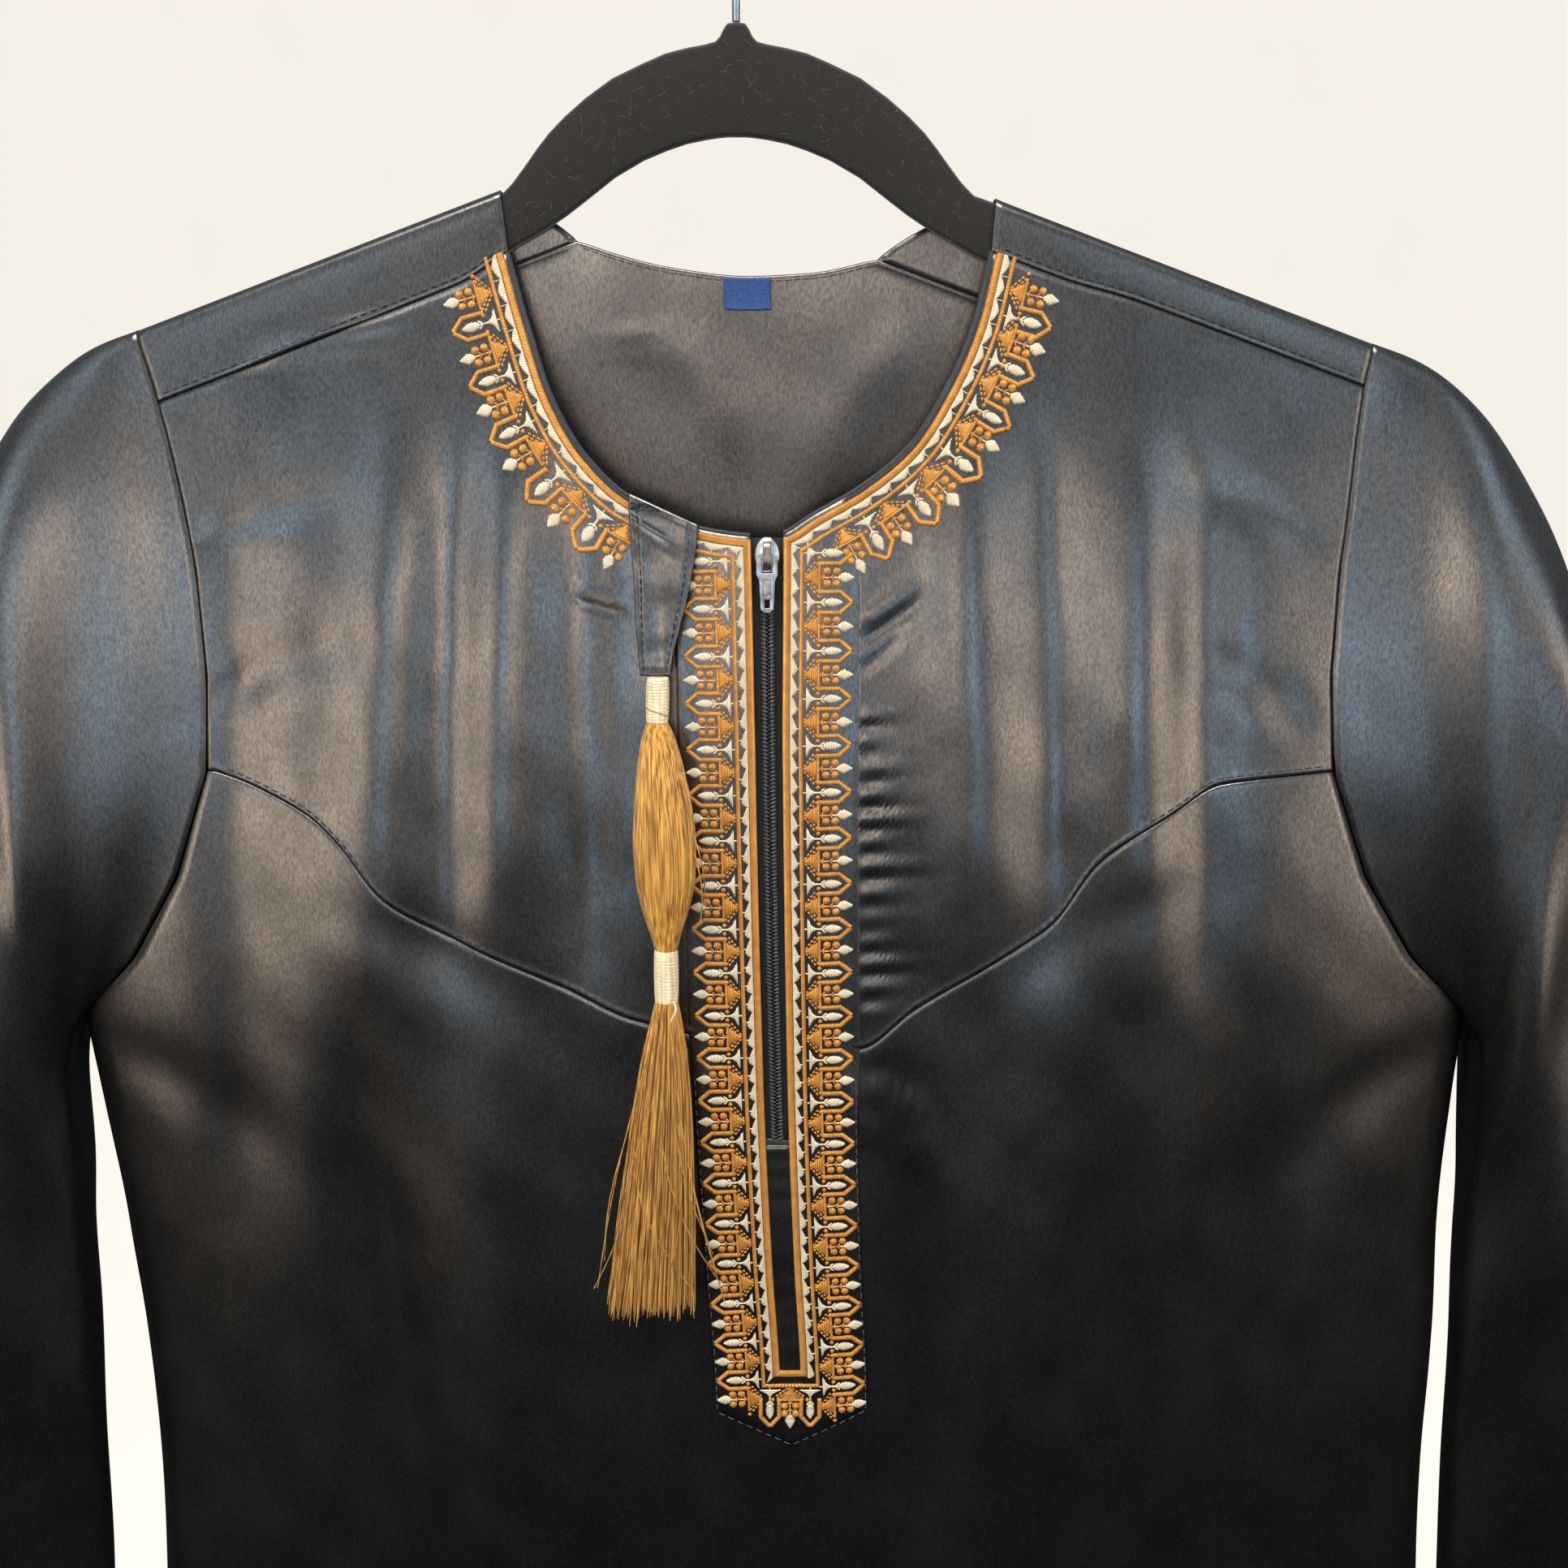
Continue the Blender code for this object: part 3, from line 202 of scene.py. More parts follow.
# Soft folds that fall from the shoulders and chest, outwards where height is positive
FRONT_FOLDS = [
    Fold(-0.125, -0.19, -0.150, -0.50, 0.013, 0.020, 0.0028),
    Fold(-0.105, -0.20, -0.118, -0.47, 0.010, 0.014, -0.0024),
    Fold(-0.083, -0.19, -0.095, -0.46, 0.011, 0.016, 0.0026),
    Fold(-0.058, -0.22, -0.060, -0.46, 0.011, 0.014, -0.0026),
    Fold(0.082, -0.19, 0.093, -0.46, 0.011, 0.017, 0.0028),
    Fold(0.112, -0.19, 0.128, -0.47, 0.012, 0.016, -0.0030),
    Fold(0.146, -0.19, 0.162, -0.48, 0.013, 0.018, 0.0028),
    Fold(0.172, -0.20, 0.185, -0.48, 0.011, 0.015, -0.0024),
    Fold(-0.190, -0.21, -0.205, -0.60, 0.014, 0.022, -0.0030),
    Fold(-0.158, -0.42, -0.128, -0.95, 0.012, 0.022, -0.0070),
    Fold(-0.110, -0.42, -0.078, -1.00, 0.018, 0.028, 0.0050),
    Fold(0.070, -0.47, 0.078, -1.10, 0.014, 0.026, -0.0060),
    Fold(0.105, -0.45, 0.110, -1.00, 0.017, 0.026, 0.0050),
    Fold(0.140, -0.44, 0.150, -1.05, 0.016, 0.026, -0.0060),
    Fold(0.205, -0.40, 0.190, -1.00, 0.016, 0.026, -0.0060),
    Fold(-0.255, -0.62, -0.290, -2.10, 0.022, 0.036, 0.0140),
    Fold(-0.195, -0.66, -0.205, -2.10, 0.022, 0.034, -0.0170),
    Fold(-0.130, -0.70, -0.120, -2.10, 0.024, 0.034, 0.0150),
    Fold(-0.055, -0.62, -0.035, -2.10, 0.022, 0.032, -0.0150),
    Fold(0.025, -0.74, 0.040, -2.10, 0.022, 0.032, 0.0120),
    Fold(0.095, -0.68, 0.118, -2.10, 0.022, 0.034, -0.0170),
    Fold(0.165, -0.72, 0.195, -2.10, 0.024, 0.034, 0.0150),
    Fold(0.232, -0.64, 0.272, -2.10, 0.020, 0.030, -0.0150),
]
BACK_FOLDS = [
    Fold(-0.150, -0.22, -0.165, -0.80, 0.018, 0.026, -0.0045),
    Fold(-0.085, -0.20, -0.090, -0.85, 0.018, 0.026, 0.0040),
    Fold(-0.020, -0.24, -0.015, -0.90, 0.018, 0.026, -0.0040),
    Fold(0.050, -0.20, 0.055, -0.85, 0.018, 0.026, 0.0040),
    Fold(0.120, -0.22, 0.130, -0.80, 0.018, 0.026, -0.0045),
    Fold(-0.235, -0.60, -0.270, -2.10, 0.022, 0.034, -0.0150),
    Fold(-0.165, -0.66, -0.185, -2.10, 0.024, 0.034, 0.0140),
    Fold(-0.095, -0.60, -0.100, -2.10, 0.022, 0.032, -0.0160),
    Fold(-0.015, -0.70, -0.010, -2.10, 0.024, 0.034, 0.0150),
    Fold(0.065, -0.62, 0.075, -2.10, 0.022, 0.032, -0.0150),
    Fold(0.140, -0.68, 0.160, -2.10, 0.024, 0.034, 0.0150),
    Fold(0.215, -0.60, 0.245, -2.10, 0.022, 0.034, -0.0150),
]

# Gathers that pull sideways from the placket's right edge
PUCKER_TOP_Z = -0.328
PUCKER_FOOT_Z = -0.456
PUCKERS = 13
PUCKER_HEIGHT = 0.0009
PUCKER_LENGTHS = (0.009, 0.005, 0.012, 0.006, 0.014, 0.006, 0.017, 0.009, 0.012, 0.007, 0.015, 0.009, 0.007)

# Smaller creases, troughs where height is negative
FRONT_CREASES = [
    Crease(-0.0640, -0.2900, -0.0375, -0.2972, 0.0020, -0.0008, 0.0010),
    Crease(-0.0620, -0.2860, -0.0400, -0.2925, 0.0030, 0.0005, 0.0010),
    Crease(0.0400, -0.3080, 0.0740, -0.2830, 0.0026, -0.0007, -0.0020),
    Crease(0.0410, -0.2990, 0.0700, -0.2780, 0.0036, 0.0007, -0.0020),
    Crease(0.0410, -0.3190, 0.0640, -0.2980, 0.0026, -0.0006, -0.0015),
    Crease(-0.1950, -0.2080, -0.1150, -0.1945, 0.0040, -0.0008, 0.0030),
    Crease(-0.1950, -0.1960, -0.1080, -0.1880, 0.0034, 0.0006, 0.0020),
    Crease(-0.2120, -0.3400, -0.1300, -0.3020, 0.0100, -0.0012, 0.0080),
    Crease(-0.2160, -0.2750, -0.1400, -0.2500, 0.0080, -0.0009, 0.0060),
    Crease(0.2250, -0.3450, 0.1450, -0.3050, 0.0100, -0.0012, -0.0080),
    Crease(0.2250, -0.2750, 0.1550, -0.2450, 0.0080, -0.0009, -0.0060),
    Crease(0.0460, -0.4710, 0.0780, -0.4920, 0.0055, -0.0011, 0.0020),
    Crease(0.0460, -0.4870, 0.0740, -0.5090, 0.0050, -0.0009, 0.0020),
    Crease(0.0480, -0.5040, 0.0720, -0.5320, 0.0050, -0.0007, 0.0020),
    Crease(0.0560, -0.4690, 0.0800, -0.5450, 0.0075, 0.0013, 0.0030),
    Crease(-0.2750, -0.4660, -0.1750, -0.5500, 0.0150, -0.0014, 0.0140),
    Crease(0.2950, -0.4660, 0.2000, -0.5600, 0.0150, -0.0014, -0.0140),
    Crease(-0.1900, -0.4050, -0.0500, -0.4700, 0.0140, -0.0007, 0.0100),
    Crease(0.1950, -0.3980, 0.0700, -0.4640, 0.0140, -0.0007, -0.0100),
]
BACK_CREASES = [
    Crease(-0.2120, -0.3350, -0.1200, -0.2950, 0.0100, -0.0012, 0.0080),
    Crease(-0.2100, -0.2650, -0.1300, -0.2400, 0.0080, -0.0009, 0.0060),
    Crease(0.2200, -0.3400, 0.1350, -0.2980, 0.0100, -0.0012, -0.0080),
    Crease(0.2200, -0.2700, 0.1400, -0.2430, 0.0080, -0.0009, -0.0060),
    Crease(-0.0560, -0.1960, -0.0270, -0.1905, 0.0018, -0.0007, 0.0010),
    Crease(-0.0520, -0.2010, -0.0300, -0.1985, 0.0016, -0.0004, 0.0010),
    Crease(-0.0400, -0.1850, 0.0050, -0.2500, 0.0120, -0.0006, 0.0080),
    Crease(0.0700, -0.1850, 0.0300, -0.2600, 0.0130, -0.0006, -0.0080),
    Crease(-0.2750, -0.4660, -0.1600, -0.5500, 0.0140, -0.0026, 0.0140),
    Crease(0.2950, -0.4660, 0.1800, -0.5600, 0.0140, -0.0026, -0.0140),
    Crease(-0.1600, -0.4100, 0.0200, -0.4800, 0.0140, -0.0018, 0.0180),
    Crease(0.1900, -0.3900, 0.0300, -0.4700, 0.0140, -0.0018, -0.0180),
]

SLEEVE_RINGS = [
    Ring(0.2290, -0.190, 0.2850, -0.463, 0.016, 0.0),
    Ring(0.2480, -0.197, 0.2890, -0.474, 0.020, 0.45),
    Ring(0.2720, -0.215, 0.2905, -0.489, 0.023, 0.85),
    Ring(0.2980, -0.250, 0.2905, -0.510, 0.026, 1.0),
    Ring(0.3240, -0.305, 0.2905, -0.536, 0.027, 1.0),
    Ring(0.3490, -0.378, 0.2915, -0.567, 0.026, 1.0),
    Ring(0.3740, -0.465, 0.2930, -0.613, 0.024, 1.0),
    Ring(0.3940, -0.560, 0.2955, -0.670, 0.021, 1.0),
    Ring(0.4100, -0.655, 0.2990, -0.738, 0.018, 1.0),
    Ring(0.4220, -0.750, 0.3040, -0.806, 0.016, 1.0),
]
SLEEVE_CREASES = [(2, 3.4, 0.16), (5, 0.9, 0.10), (3, 5.1, 0.08)]
SLEEVE_SIDES = 80
SLEEVE_STEPS = 88

# Hanger's outline on one side of its hook: (x, top z, bottom z)
HANGER_ROWS = [
    (0.0000, -0.0849, -0.1235), (0.0032, -0.0854, -0.1235), (0.0046, -0.0872, -0.1236),
    (0.0058, -0.0896, -0.1237), (0.0075, -0.0914, -0.1239), (0.0110, -0.0923, -0.1244),
    (0.0182, -0.0936, -0.1258), (0.0254, -0.0953, -0.1281), (0.0340, -0.0988, -0.1315),
    (0.0447, -0.1036, -0.1374), (0.0544, -0.1101, -0.1446), (0.0624, -0.1166, -0.1504),
    (0.0680, -0.1219, -0.1540), (0.0724, -0.1270, -0.1566), (0.0769, -0.1328, -0.1590),
    (0.0819, -0.1390, -0.1618), (0.0866, -0.1436, -0.1644), (0.0930, -0.14575, -0.1674),
    (0.1050, -0.15010, -0.1722), (0.1500, -0.16635, -0.1880), (0.2050, -0.18620, -0.2050),
    (0.2180, -0.19100, -0.2075), (0.2220, -0.19400, -0.2050),
]

# How far forward the tassel hangs: (depth below the rail, y)
tassel_y = smooth_curve([
    (0.314, -0.0365), (0.335, -0.0385), (0.38, -0.0412), (0.44, -0.0425), (0.50, -0.0440), (0.58, -0.0460),
])

# Tab, downwards: (left x, left z, right x, right z, stand-off from the front's middle surface)
TAB_ROWS = [
    (-0.0398, -0.2510, -0.0146, -0.2622, 0.0029), (-0.0394, -0.2610, -0.0154, -0.2690, 0.0034),
    (-0.0385, -0.2740, -0.0170, -0.2790, 0.0041), (-0.0378, -0.2870, -0.0192, -0.2895, 0.0050),
    (-0.0371, -0.3000, -0.0222, -0.3010, 0.0060), (-0.0364, -0.3098, -0.0243, -0.3100, 0.0070),
    (-0.0358, -0.3163, -0.0252, -0.3163, 0.0077),
]
LABEL_HALF = 0.0086
LABEL_X = 0.0033
LABEL_HEIGHT = 0.0110

# Fine rows beside the chest seam, by their distance from it
ABOVE_SEAM = np.array([0.0042, 0.0031, 0.0023, 0.0016, 0.0010, 0.0005, 0.0])
BELOW_SEAM = np.array([0.0, 0.0006, 0.0014, 0.0026, 0.0040])
UPPER_STEP = 0.0023
LOWER_STEP = 0.0052

# Near-black rolls along the turned neck edge, painted shade that also covers the highlight the satin edge
# would catch: (distance below it, stand-off, radius)
NECK_SHADE_ROLLS = ((0.0000, 0.0003, 0.00090), (0.0011, 0.0007, 0.00055), (0.0019, 0.0008, 0.00045))

# Coils, stitches and wound thread
COIL_PITCH = 0.0015
STITCH_RADII = np.array([0.5, 1.0, 1.0, 1.0, 1.0, 0.5]) * 0.00020
WINDING_PITCH = 0.00042
WINDING_RADIUS = 0.00023

# Tassel's bulb: (z, middle x, half width, half depth). Its wraps: z at both ends, x at both ends, half width
TASSEL_BULB = [
    (-0.3331, -0.0300, 0.0040, 0.0036), (-0.3380, -0.0297, 0.0062, 0.0050),
    (-0.3480, -0.0292, 0.0085, 0.0062), (-0.3620, -0.0284, 0.0106, 0.0070),
    (-0.3780, -0.0280, 0.0119, 0.0074), (-0.3920, -0.0279, 0.0114, 0.0072),
    (-0.4040, -0.0280, 0.0092, 0.0064), (-0.4140, -0.0280, 0.0062, 0.0050),
    (-0.4200, -0.0280, 0.0044, 0.0040),
]
UPPER_WRAP = ((-0.3162, -0.3328), (-0.0296, -0.0300), 0.0043)
LOWER_WRAP = ((-0.4203, -0.4417), (-0.0280, -0.0281), 0.0047)
SKIRT_HEAD_HALF = 0.0044

# Skirt: (depth below the rail, middle x, width and thickness as shares of its head)
SKIRT_ROWS = np.array([
    (0.4400, -0.0281, 0.90, 0.90), (0.4465, -0.0283, 1.20, 1.08), (0.4660, -0.0293, 2.05, 1.45),
    (0.5050, -0.0317, 3.00, 1.70), (0.5800, -0.0370, 4.20, 1.85),
])

# Stray threads: (start x, start z, end x, end z, bow to the right)
STRAYS = [
    (-0.0255, -0.4440, -0.0062, -0.5669, -0.0030), (-0.0262, -0.4450, -0.0100, -0.5520, -0.0020),
    (-0.0310, -0.4450, -0.0570, -0.5596, -0.0040), (-0.0165, -0.3800, -0.0145, -0.4080, 0.0020),
    (-0.0170, -0.3720, -0.0128, -0.4010, 0.0020), (-0.0335, -0.4800, -0.0480, -0.5640, -0.0060),
    (-0.0400, -0.4850, -0.0200, -0.5600, -0.0070), (-0.0260, -0.4700, -0.0110, -0.5450, -0.0030),
    (-0.0420, -0.5050, -0.0585, -0.5600, 0.0020), (-0.0430, -0.4900, -0.0540, -0.5480, -0.0030),
    (-0.0240, -0.4900, -0.0330, -0.5700, 0.0040), (-0.0300, -0.5000, -0.0080, -0.5580, -0.0020),
]

# Studio panels: (name, place, target, size, power, colour)
WARM, COOL, PALE = (1.0, 0.83, 0.68), (0.55, 0.78, 1.0), (1.0, 0.95, 0.88)
PANELS = [
    ("front_panel", (-0.10, -1.90, -0.20), (0.02, 0.0, -0.26), (0.46, 0.44), 4.2, WARM),
    ("cool_left_panel", (-0.62, -1.85, -0.34), (0.0, 0.0, -0.34), (0.34, 0.70), 3.2, COOL),
    ("cool_right_panel", (0.64, -1.85, -0.34), (0.0, 0.0, -0.34), (0.34, 0.70), 3.2, COOL),
    ("low_left_panel", (-1.30, -1.25, -0.50), (0.0, 0.0, -0.38), (0.70, 0.75), 6.6, WARM),
    ("low_right_panel", (1.36, -1.20, -0.42), (0.0, 0.0, -0.36), (0.70, 0.70), 6.0, WARM),
    ("high_left_panel", (-1.30, -1.25, 0.28), (0.0, 0.0, -0.25), (0.70, 0.60), 3.4, COOL),
    ("high_right_panel", (1.36, -1.20, 0.28), (0.0, 0.0, -0.25), (0.70, 0.60), 3.0, COOL),
    ("high_panel", (-0.15, -0.95, 1.15), (0.0, 0.0, -0.40), (1.30, 0.70), 44.0, PALE),
    ("back_panel", (0.3, 1.80, 0.20), (0.0, 0.0, -0.60), (1.20, 1.20), 16.0, (1.0, 0.94, 0.88)),
]
STAGE_COLOUR = (0.90, 0.855, 0.775)
STAGE_RADIUS = 7.0
STAGE_SIDES = 72
FLOOR_Z = -1.52
WALL_HEIGHT = 9.0

random = np.random.default_rng(7)


def centre(z):
    return centre_at_depth(-z)


def edge_half(z):
    """Half width of the body: the armhole edge above the underarm, the side seam below it."""
    return np.where(z <= UNDERARM_Z, side_half(-z), np.interp(-z, *zip(*EDGE_ROWS)))


def full_half(z):
    """Half width at which front and back would meet, which the armhole cuts short."""
    return np.where(z <= UNDERARM_Z, side_half(-z), mix(0.262, 0.285, ease((-0.193 - z) / 0.27)))


def ridge_z(x):
    """Height of the shoulder ridge's springing line, over the hanger's arm."""
    return NECK_RIDGE_Z - SHOULDER_SLOPE * (np.abs(x) - NECK_RIDGE_X)


def fold_sum(folds, x, z):
    """Long soft folds, fading in and out at their ends."""
    total = np.zeros(np.shape(x))
    for fold in folds:
        share = (fold.z_top - z) / (fold.z_top - fold.z_foot)
        offset = (x - mix(fold.x_top, fold.x_foot, share)) / mix(fold.width_top, fold.width_foot, share)
        fade = ease(share / 0.3) * ease((1 - share) / 0.3)
        total += fold.height * fade * np.exp(-np.minimum(offset * offset, 50.0))
    return total


def crease_sum(creases, x, z):
    """Short creases along a slightly bowed line, each with a softer swell on both sides."""
    total = np.zeros(np.shape(x))
    for crease in creases:
        run_x, run_z = crease.x1 - crease.x0, crease.z1 - crease.z0
        length = math.hypot(run_x, run_z)
        along = ((x - crease.x0) * run_x + (z - crease.z0) * run_z) / length**2
        beside = ((z - crease.z0) * run_x - (x - crease.x0) * run_z) / length
        beside = beside - crease.bow * 4 * along * (1 - along)
        fade = ease(along / 0.3) * ease((1 - along) / 0.45)
        offset = (beside / (crease.width * mix(0.8, 1.5, np.clip(along, 0, 1)))) ** 2
        total += crease.height * fade * np.exp(-np.minimum(offset, 50.0)) * (1 - 0.5 * np.minimum(offset, 4))
    return total


def pucker_sum(x, z):
    """Small gathers at the placket's right edge, dying out sideways."""
    pitch = (PUCKER_TOP_Z - PUCKER_FOOT_Z) / PUCKERS
    place = (PUCKER_TOP_Z - z) / pitch
    length = np.array(PUCKER_LENGTHS)[np.clip(np.floor(place), 0, PUCKERS - 1).astype(int)]
    out = x - (centre(z) + PLACKET_HALF)
    rise = ease((out + 0.002) / 0.004) * np.exp(-((np.maximum(out - 0.002, 0) / length) ** 2))
    inside = (z > PUCKER_FOOT_Z) & (z < PUCKER_TOP_Z)
    uneven = 0.68 + 0.22 * np.sin(1.9 * place + 0.6) - 0.16 * np.sin(60 * out + 0.9 * place)
    slanted = 2 * math.pi * place + 0.5 * np.sin(1.3 * place) + 14 * np.maximum(out, 0)
    faded = ease((PUCKER_TOP_Z - z) / 0.006) * ease((z - PUCKER_FOOT_Z) / 0.006)
    return np.where(inside, -PUCKER_HEIGHT * uneven * faded * rise * np.cos(slanted), 0.0)


def ripple(x, z):
    """Slight unevenness of cloth that hangs free, less on the stiff placket and at the side seams."""
    soft = np.sin(131 * x + 47 * z + 1.3) * np.sin(89 * z - 23 * x + 0.4)
    fine = np.sin(263 * x - 91 * z + 2.1) * np.sin(173 * z + 61 * x)
    free = ease((np.abs(x - centre(z)) - 0.020) / 0.03) * ease((edge_half(z) - np.abs(x - centre(z))) / 0.03)
    return (0.00020 * soft + 0.00004 * fine) * mix(0.25, 1.0, free)


def depth_at(x, z, fullness, folds):
    """Distance of the cloth's middle surface from the hanger's plane."""
    below = np.maximum(ridge_z(x) - z, 0.0)
    across = np.minimum(np.abs(x - centre(z)) / full_half(z), 1.0)
    roundness = np.sqrt(np.maximum(1 - across**2.6, 0.0))
    on_hanger = mix(RIDGE_HALF, SEAM_GAP / 2, ease(below / 0.15))
    folded = fold_sum(folds, x, z) * ease(below / 0.05) * np.minimum(roundness * 1.6, 1.0)
    return np.hypot(fullness(below) * roundness, on_hanger) + folded


def plain_front_depth(x, z):
    return depth_at(x, z, front_fullness, FRONT_FOLDS) + pucker_sum(x, z)


def front_depth(x, z):
    hanging = ease((ridge_z(x) - z) / 0.03)
    return plain_front_depth(x, z) + (crease_sum(FRONT_CREASES, x, z) + ripple(x, z)) * hanging


def back_depth(x, z):
    hanging = ease((ridge_z(x) - z) / 0.03)
    plain = depth_at(x, z, back_fullness, BACK_FOLDS)
    return plain + (crease_sum(BACK_CREASES, x, z) + ripple(x + 0.37, z)) * hanging


FRONT = Face(front_depth, -1)
PLAIN_FRONT = Face(plain_front_depth, -1)
BACK = Face(back_depth, 1)


def lay(face, x, z, out=0.0):
    """Points and normals at these places on the front or the back, moved out by this much."""
    step = 0.0004
    slope_x = (face.depth(x + step, z) - face.depth(x - step, z)) / (2 * step)
    slope_z = (face.depth(x, z + step) - face.depth(x, z - step)) / (2 * step)
    normals = unit(np.stack([-slope_x, np.full(np.shape(x), float(face.facing)), -slope_z], -1))
    points = np.stack([x, face.facing * face.depth(x, z), z], -1)
    return points + normals * np.asarray(out)[..., None], normals


def refine(places, step):
    """The same places with even ones between them, no further apart than step."""
    fine = [places[0]]
    for start, end in zip(places, places[1:]):
        count = max(1, math.ceil(abs(end - start) / step))
        fine += [mix(start, end, k / count) for k in range(1, count + 1)]
    return np.array(fine)


def column_x(side, share, z):
    """Where a column of the front lies at these heights. Share 0 is the zip's slot and 1 the body's edge."""
    across = mix(SLOT_HALF, SHOULDER_HALF, share) + (edge_half(z) - SHOULDER_HALF) * share**4
    return centre(z) + side * across


def settled(count, start, line, rounds=40):
    """Heights that follow from themselves by way of the columns' slant."""
    z = np.full(count, start)
    for _ in range(rounds):
        z = line(z)
    return z


def settle(side, shares, line):
    return settled(len(shares), -0.3, lambda z: line(column_x(side, shares, z)))


def front_top_line(side):
    """Upper edge of one side of the front: the neckline, then the yoke's seam."""
    corner = YOKE_FRONT_NECK_X[side]

    def line(x):
        yoke = ridge_z(x) - yoke_front_drop[side](np.abs(x)) - SEAM_GAP
        return np.where(side * (x - corner) < -NECK_CORNER, neckline(x), yoke)

    return line


def front_columns(side, step):
    """Shares of the columns on one side: at set distances under the neckline, then under the yoke."""
    corner_x, corner_z = NECKLINE[0 if side < 0 else -1]
    distances = np.array([*NECK_COLUMNS, abs(corner_x - centre(corner_z))])
    under_neck = (distances - SLOT_HALF) / (SHOULDER_HALF - SLOT_HALF)
    under_yoke = [mix(under_neck[-1], 1, share) for share in YOKE_SHARES[1:]]
    return refine([*under_neck, *under_yoke], step / SHOULDER_HALF)


# Meshes

def new_piece(name, points, faces, finish, uv=None):
    """One smooth object of these points and faces, with one UV place for each point if they are given."""
    mesh = bpy.data.meshes.new(name)
    mesh.from_pydata(np.asarray(points).tolist(), [], [list(face) for face in faces])
    if uv is not None:
        layer = mesh.uv_layers.new(name="thread")
        corners = np.empty(len(mesh.loops), np.int32)
        mesh.loops.foreach_get("vertex_index", corners)
        layer.data.foreach_set("uv", np.asarray(uv, np.float32)[corners].ravel())
    mesh.shade_smooth()
    mesh.materials.append(finish)
    made = bpy.data.objects.new(name, mesh)
    bpy.context.scene.collection.objects.link(made)
    return made


def grid_quads(rows, columns, ring=False, cells=None):
    across = columns if ring else columns - 1
    kept = np.ones((rows - 1, across), bool) if cells is None else cells
    i, j = np.nonzero(kept)
    after = (j + 1) % columns
    upper, lower = i * columns, (i + 1) * columns
    return np.stack([upper + j, upper + after, lower + after, lower + j], 1)


def grid_normals(grid, ring):
    """Normals of a grid of points, taken from its neighbours."""
    down = np.gradient(grid, axis=0)
    if ring:
        along = np.roll(grid, -1, axis=1) - np.roll(grid, 1, axis=1)
    else:
        along = np.gradient(grid, axis=1)
    return unit(np.cross(down, along))


def shell(name, grid, normals, finish, out=CLOTH / 2, thick=SHEET, ring=False, cells=None):
    """Cloth with two faces and rounded edges. Its outer face stands out from the grid of middle points."""
    rows, columns = grid.shape[:2]
    quads = grid_quads(rows, columns, ring, cells)
    out = np.broadcast_to(np.asarray(out, float), grid.shape[:2])
    outer = (grid + normals * out[..., None]).reshape(-1, 3)
    facing = normals.reshape(-1, 3)
    first = quads[0]
    turn = np.cross(outer[first[1]] - outer[first[0]], outer[first[3]] - outer[first[0]])
    if turn @ facing[first[0]] < 0:
        quads = quads[:, ::-1]
    edges = np.concatenate([quads[:, [k, (k + 1) % 4]] for k in range(4)])
    size = rows * columns
    edges = edges[~np.isin(edges[:, 0] * size + edges[:, 1], edges[:, 1] * size + edges[:, 0])]
    away = unit(np.cross(outer[edges[:, 1]] - outer[edges[:, 0]], facing[edges[:, 0]]))
    rim_way = np.zeros((size, 3))
    for end in (0, 1):
        np.add.at(rim_way, edges[:, end], away)
    points = np.concatenate([
        outer,
        outer - facing * thick,
        outer - facing * thick / 2 + unit(rim_way) * thick * 0.4,
    ])
    a, b = edges.T
    faces = np.concatenate([
        quads,
        quads[:, ::-1] + size,
        np.stack([b, a, a + 2 * size, b + 2 * size], 1),
        np.stack([b + 2 * size, a + 2 * size, a + size, b + size], 1),
    ])
    used, faces = np.unique(faces, return_inverse=True)
    return new_piece(name, points[used], faces.reshape(-1, 4), finish)


def bundle(paths, radius, sides=6, flat=1.0, square=1.0, axis=(0, -1, 0)):
    """Points, faces and UV places of tubes along paths with as many steps each: (tube, step, 3).

    flat scales them along the axis, square under 1 squares their section, and U is in millimetres.
    """
    paths = np.asarray(paths, float)
    ahead = unit(np.gradient(paths, axis=1))
    across = unit(np.cross(ahead, np.broadcast_to(np.asarray(axis, float), ahead.shape)))
    up = np.cross(across, ahead)
    turns = np.linspace(0, 2 * math.pi, sides, endpoint=False)
    c = (np.sign(np.cos(turns)) * np.abs(np.cos(turns)) ** square)[:, None]
    s = (np.sign(np.sin(turns)) * np.abs(np.sin(turns)) ** square)[:, None] * flat
    radius = np.broadcast_to(radius, paths.shape[:2])[..., None, None]
    points = paths[:, :, None] + radius * (across[:, :, None] * c + up[:, :, None] * s)
    count, steps = paths.shape[:2]
    starts = np.arange(count) * steps * sides
    faces = (grid_quads(steps, sides, ring=True)[None] + starts[:, None, None]).reshape(-1, 4)
    lengths = np.linalg.norm(np.diff(paths, axis=1), axis=2)
    along = np.concatenate([np.zeros((count, 1)), np.cumsum(lengths, axis=1)], axis=1) * 1000
    uv = np.stack(np.broadcast_arrays(along[:, :, None], np.linspace(0, 1, sides, endpoint=False)), -1)
    return points.reshape(-1, 3), faces, uv.reshape(-1, 2)


class Pile:
    """Collects parts of one piece, then makes it."""

    def __init__(self):
        self.points, self.faces, self.uv, self.count = [], [], [], 0

    def add(self, points, faces, uv=None):
        self.points.append(points)
        self.faces += [[corner + self.count for corner in face] for face in faces]
        self.uv.append(np.zeros((len(points), 2)) if uv is None else uv)
        self.count += len(points)

    def tubes(self, paths, radius, sides=6, **how):
        self.add(*bundle(paths, radius, sides, **how))

    def build(self, name, finish):
        return new_piece(name, np.concatenate(self.points), self.faces, finish, np.concatenate(self.uv))


# Finishes

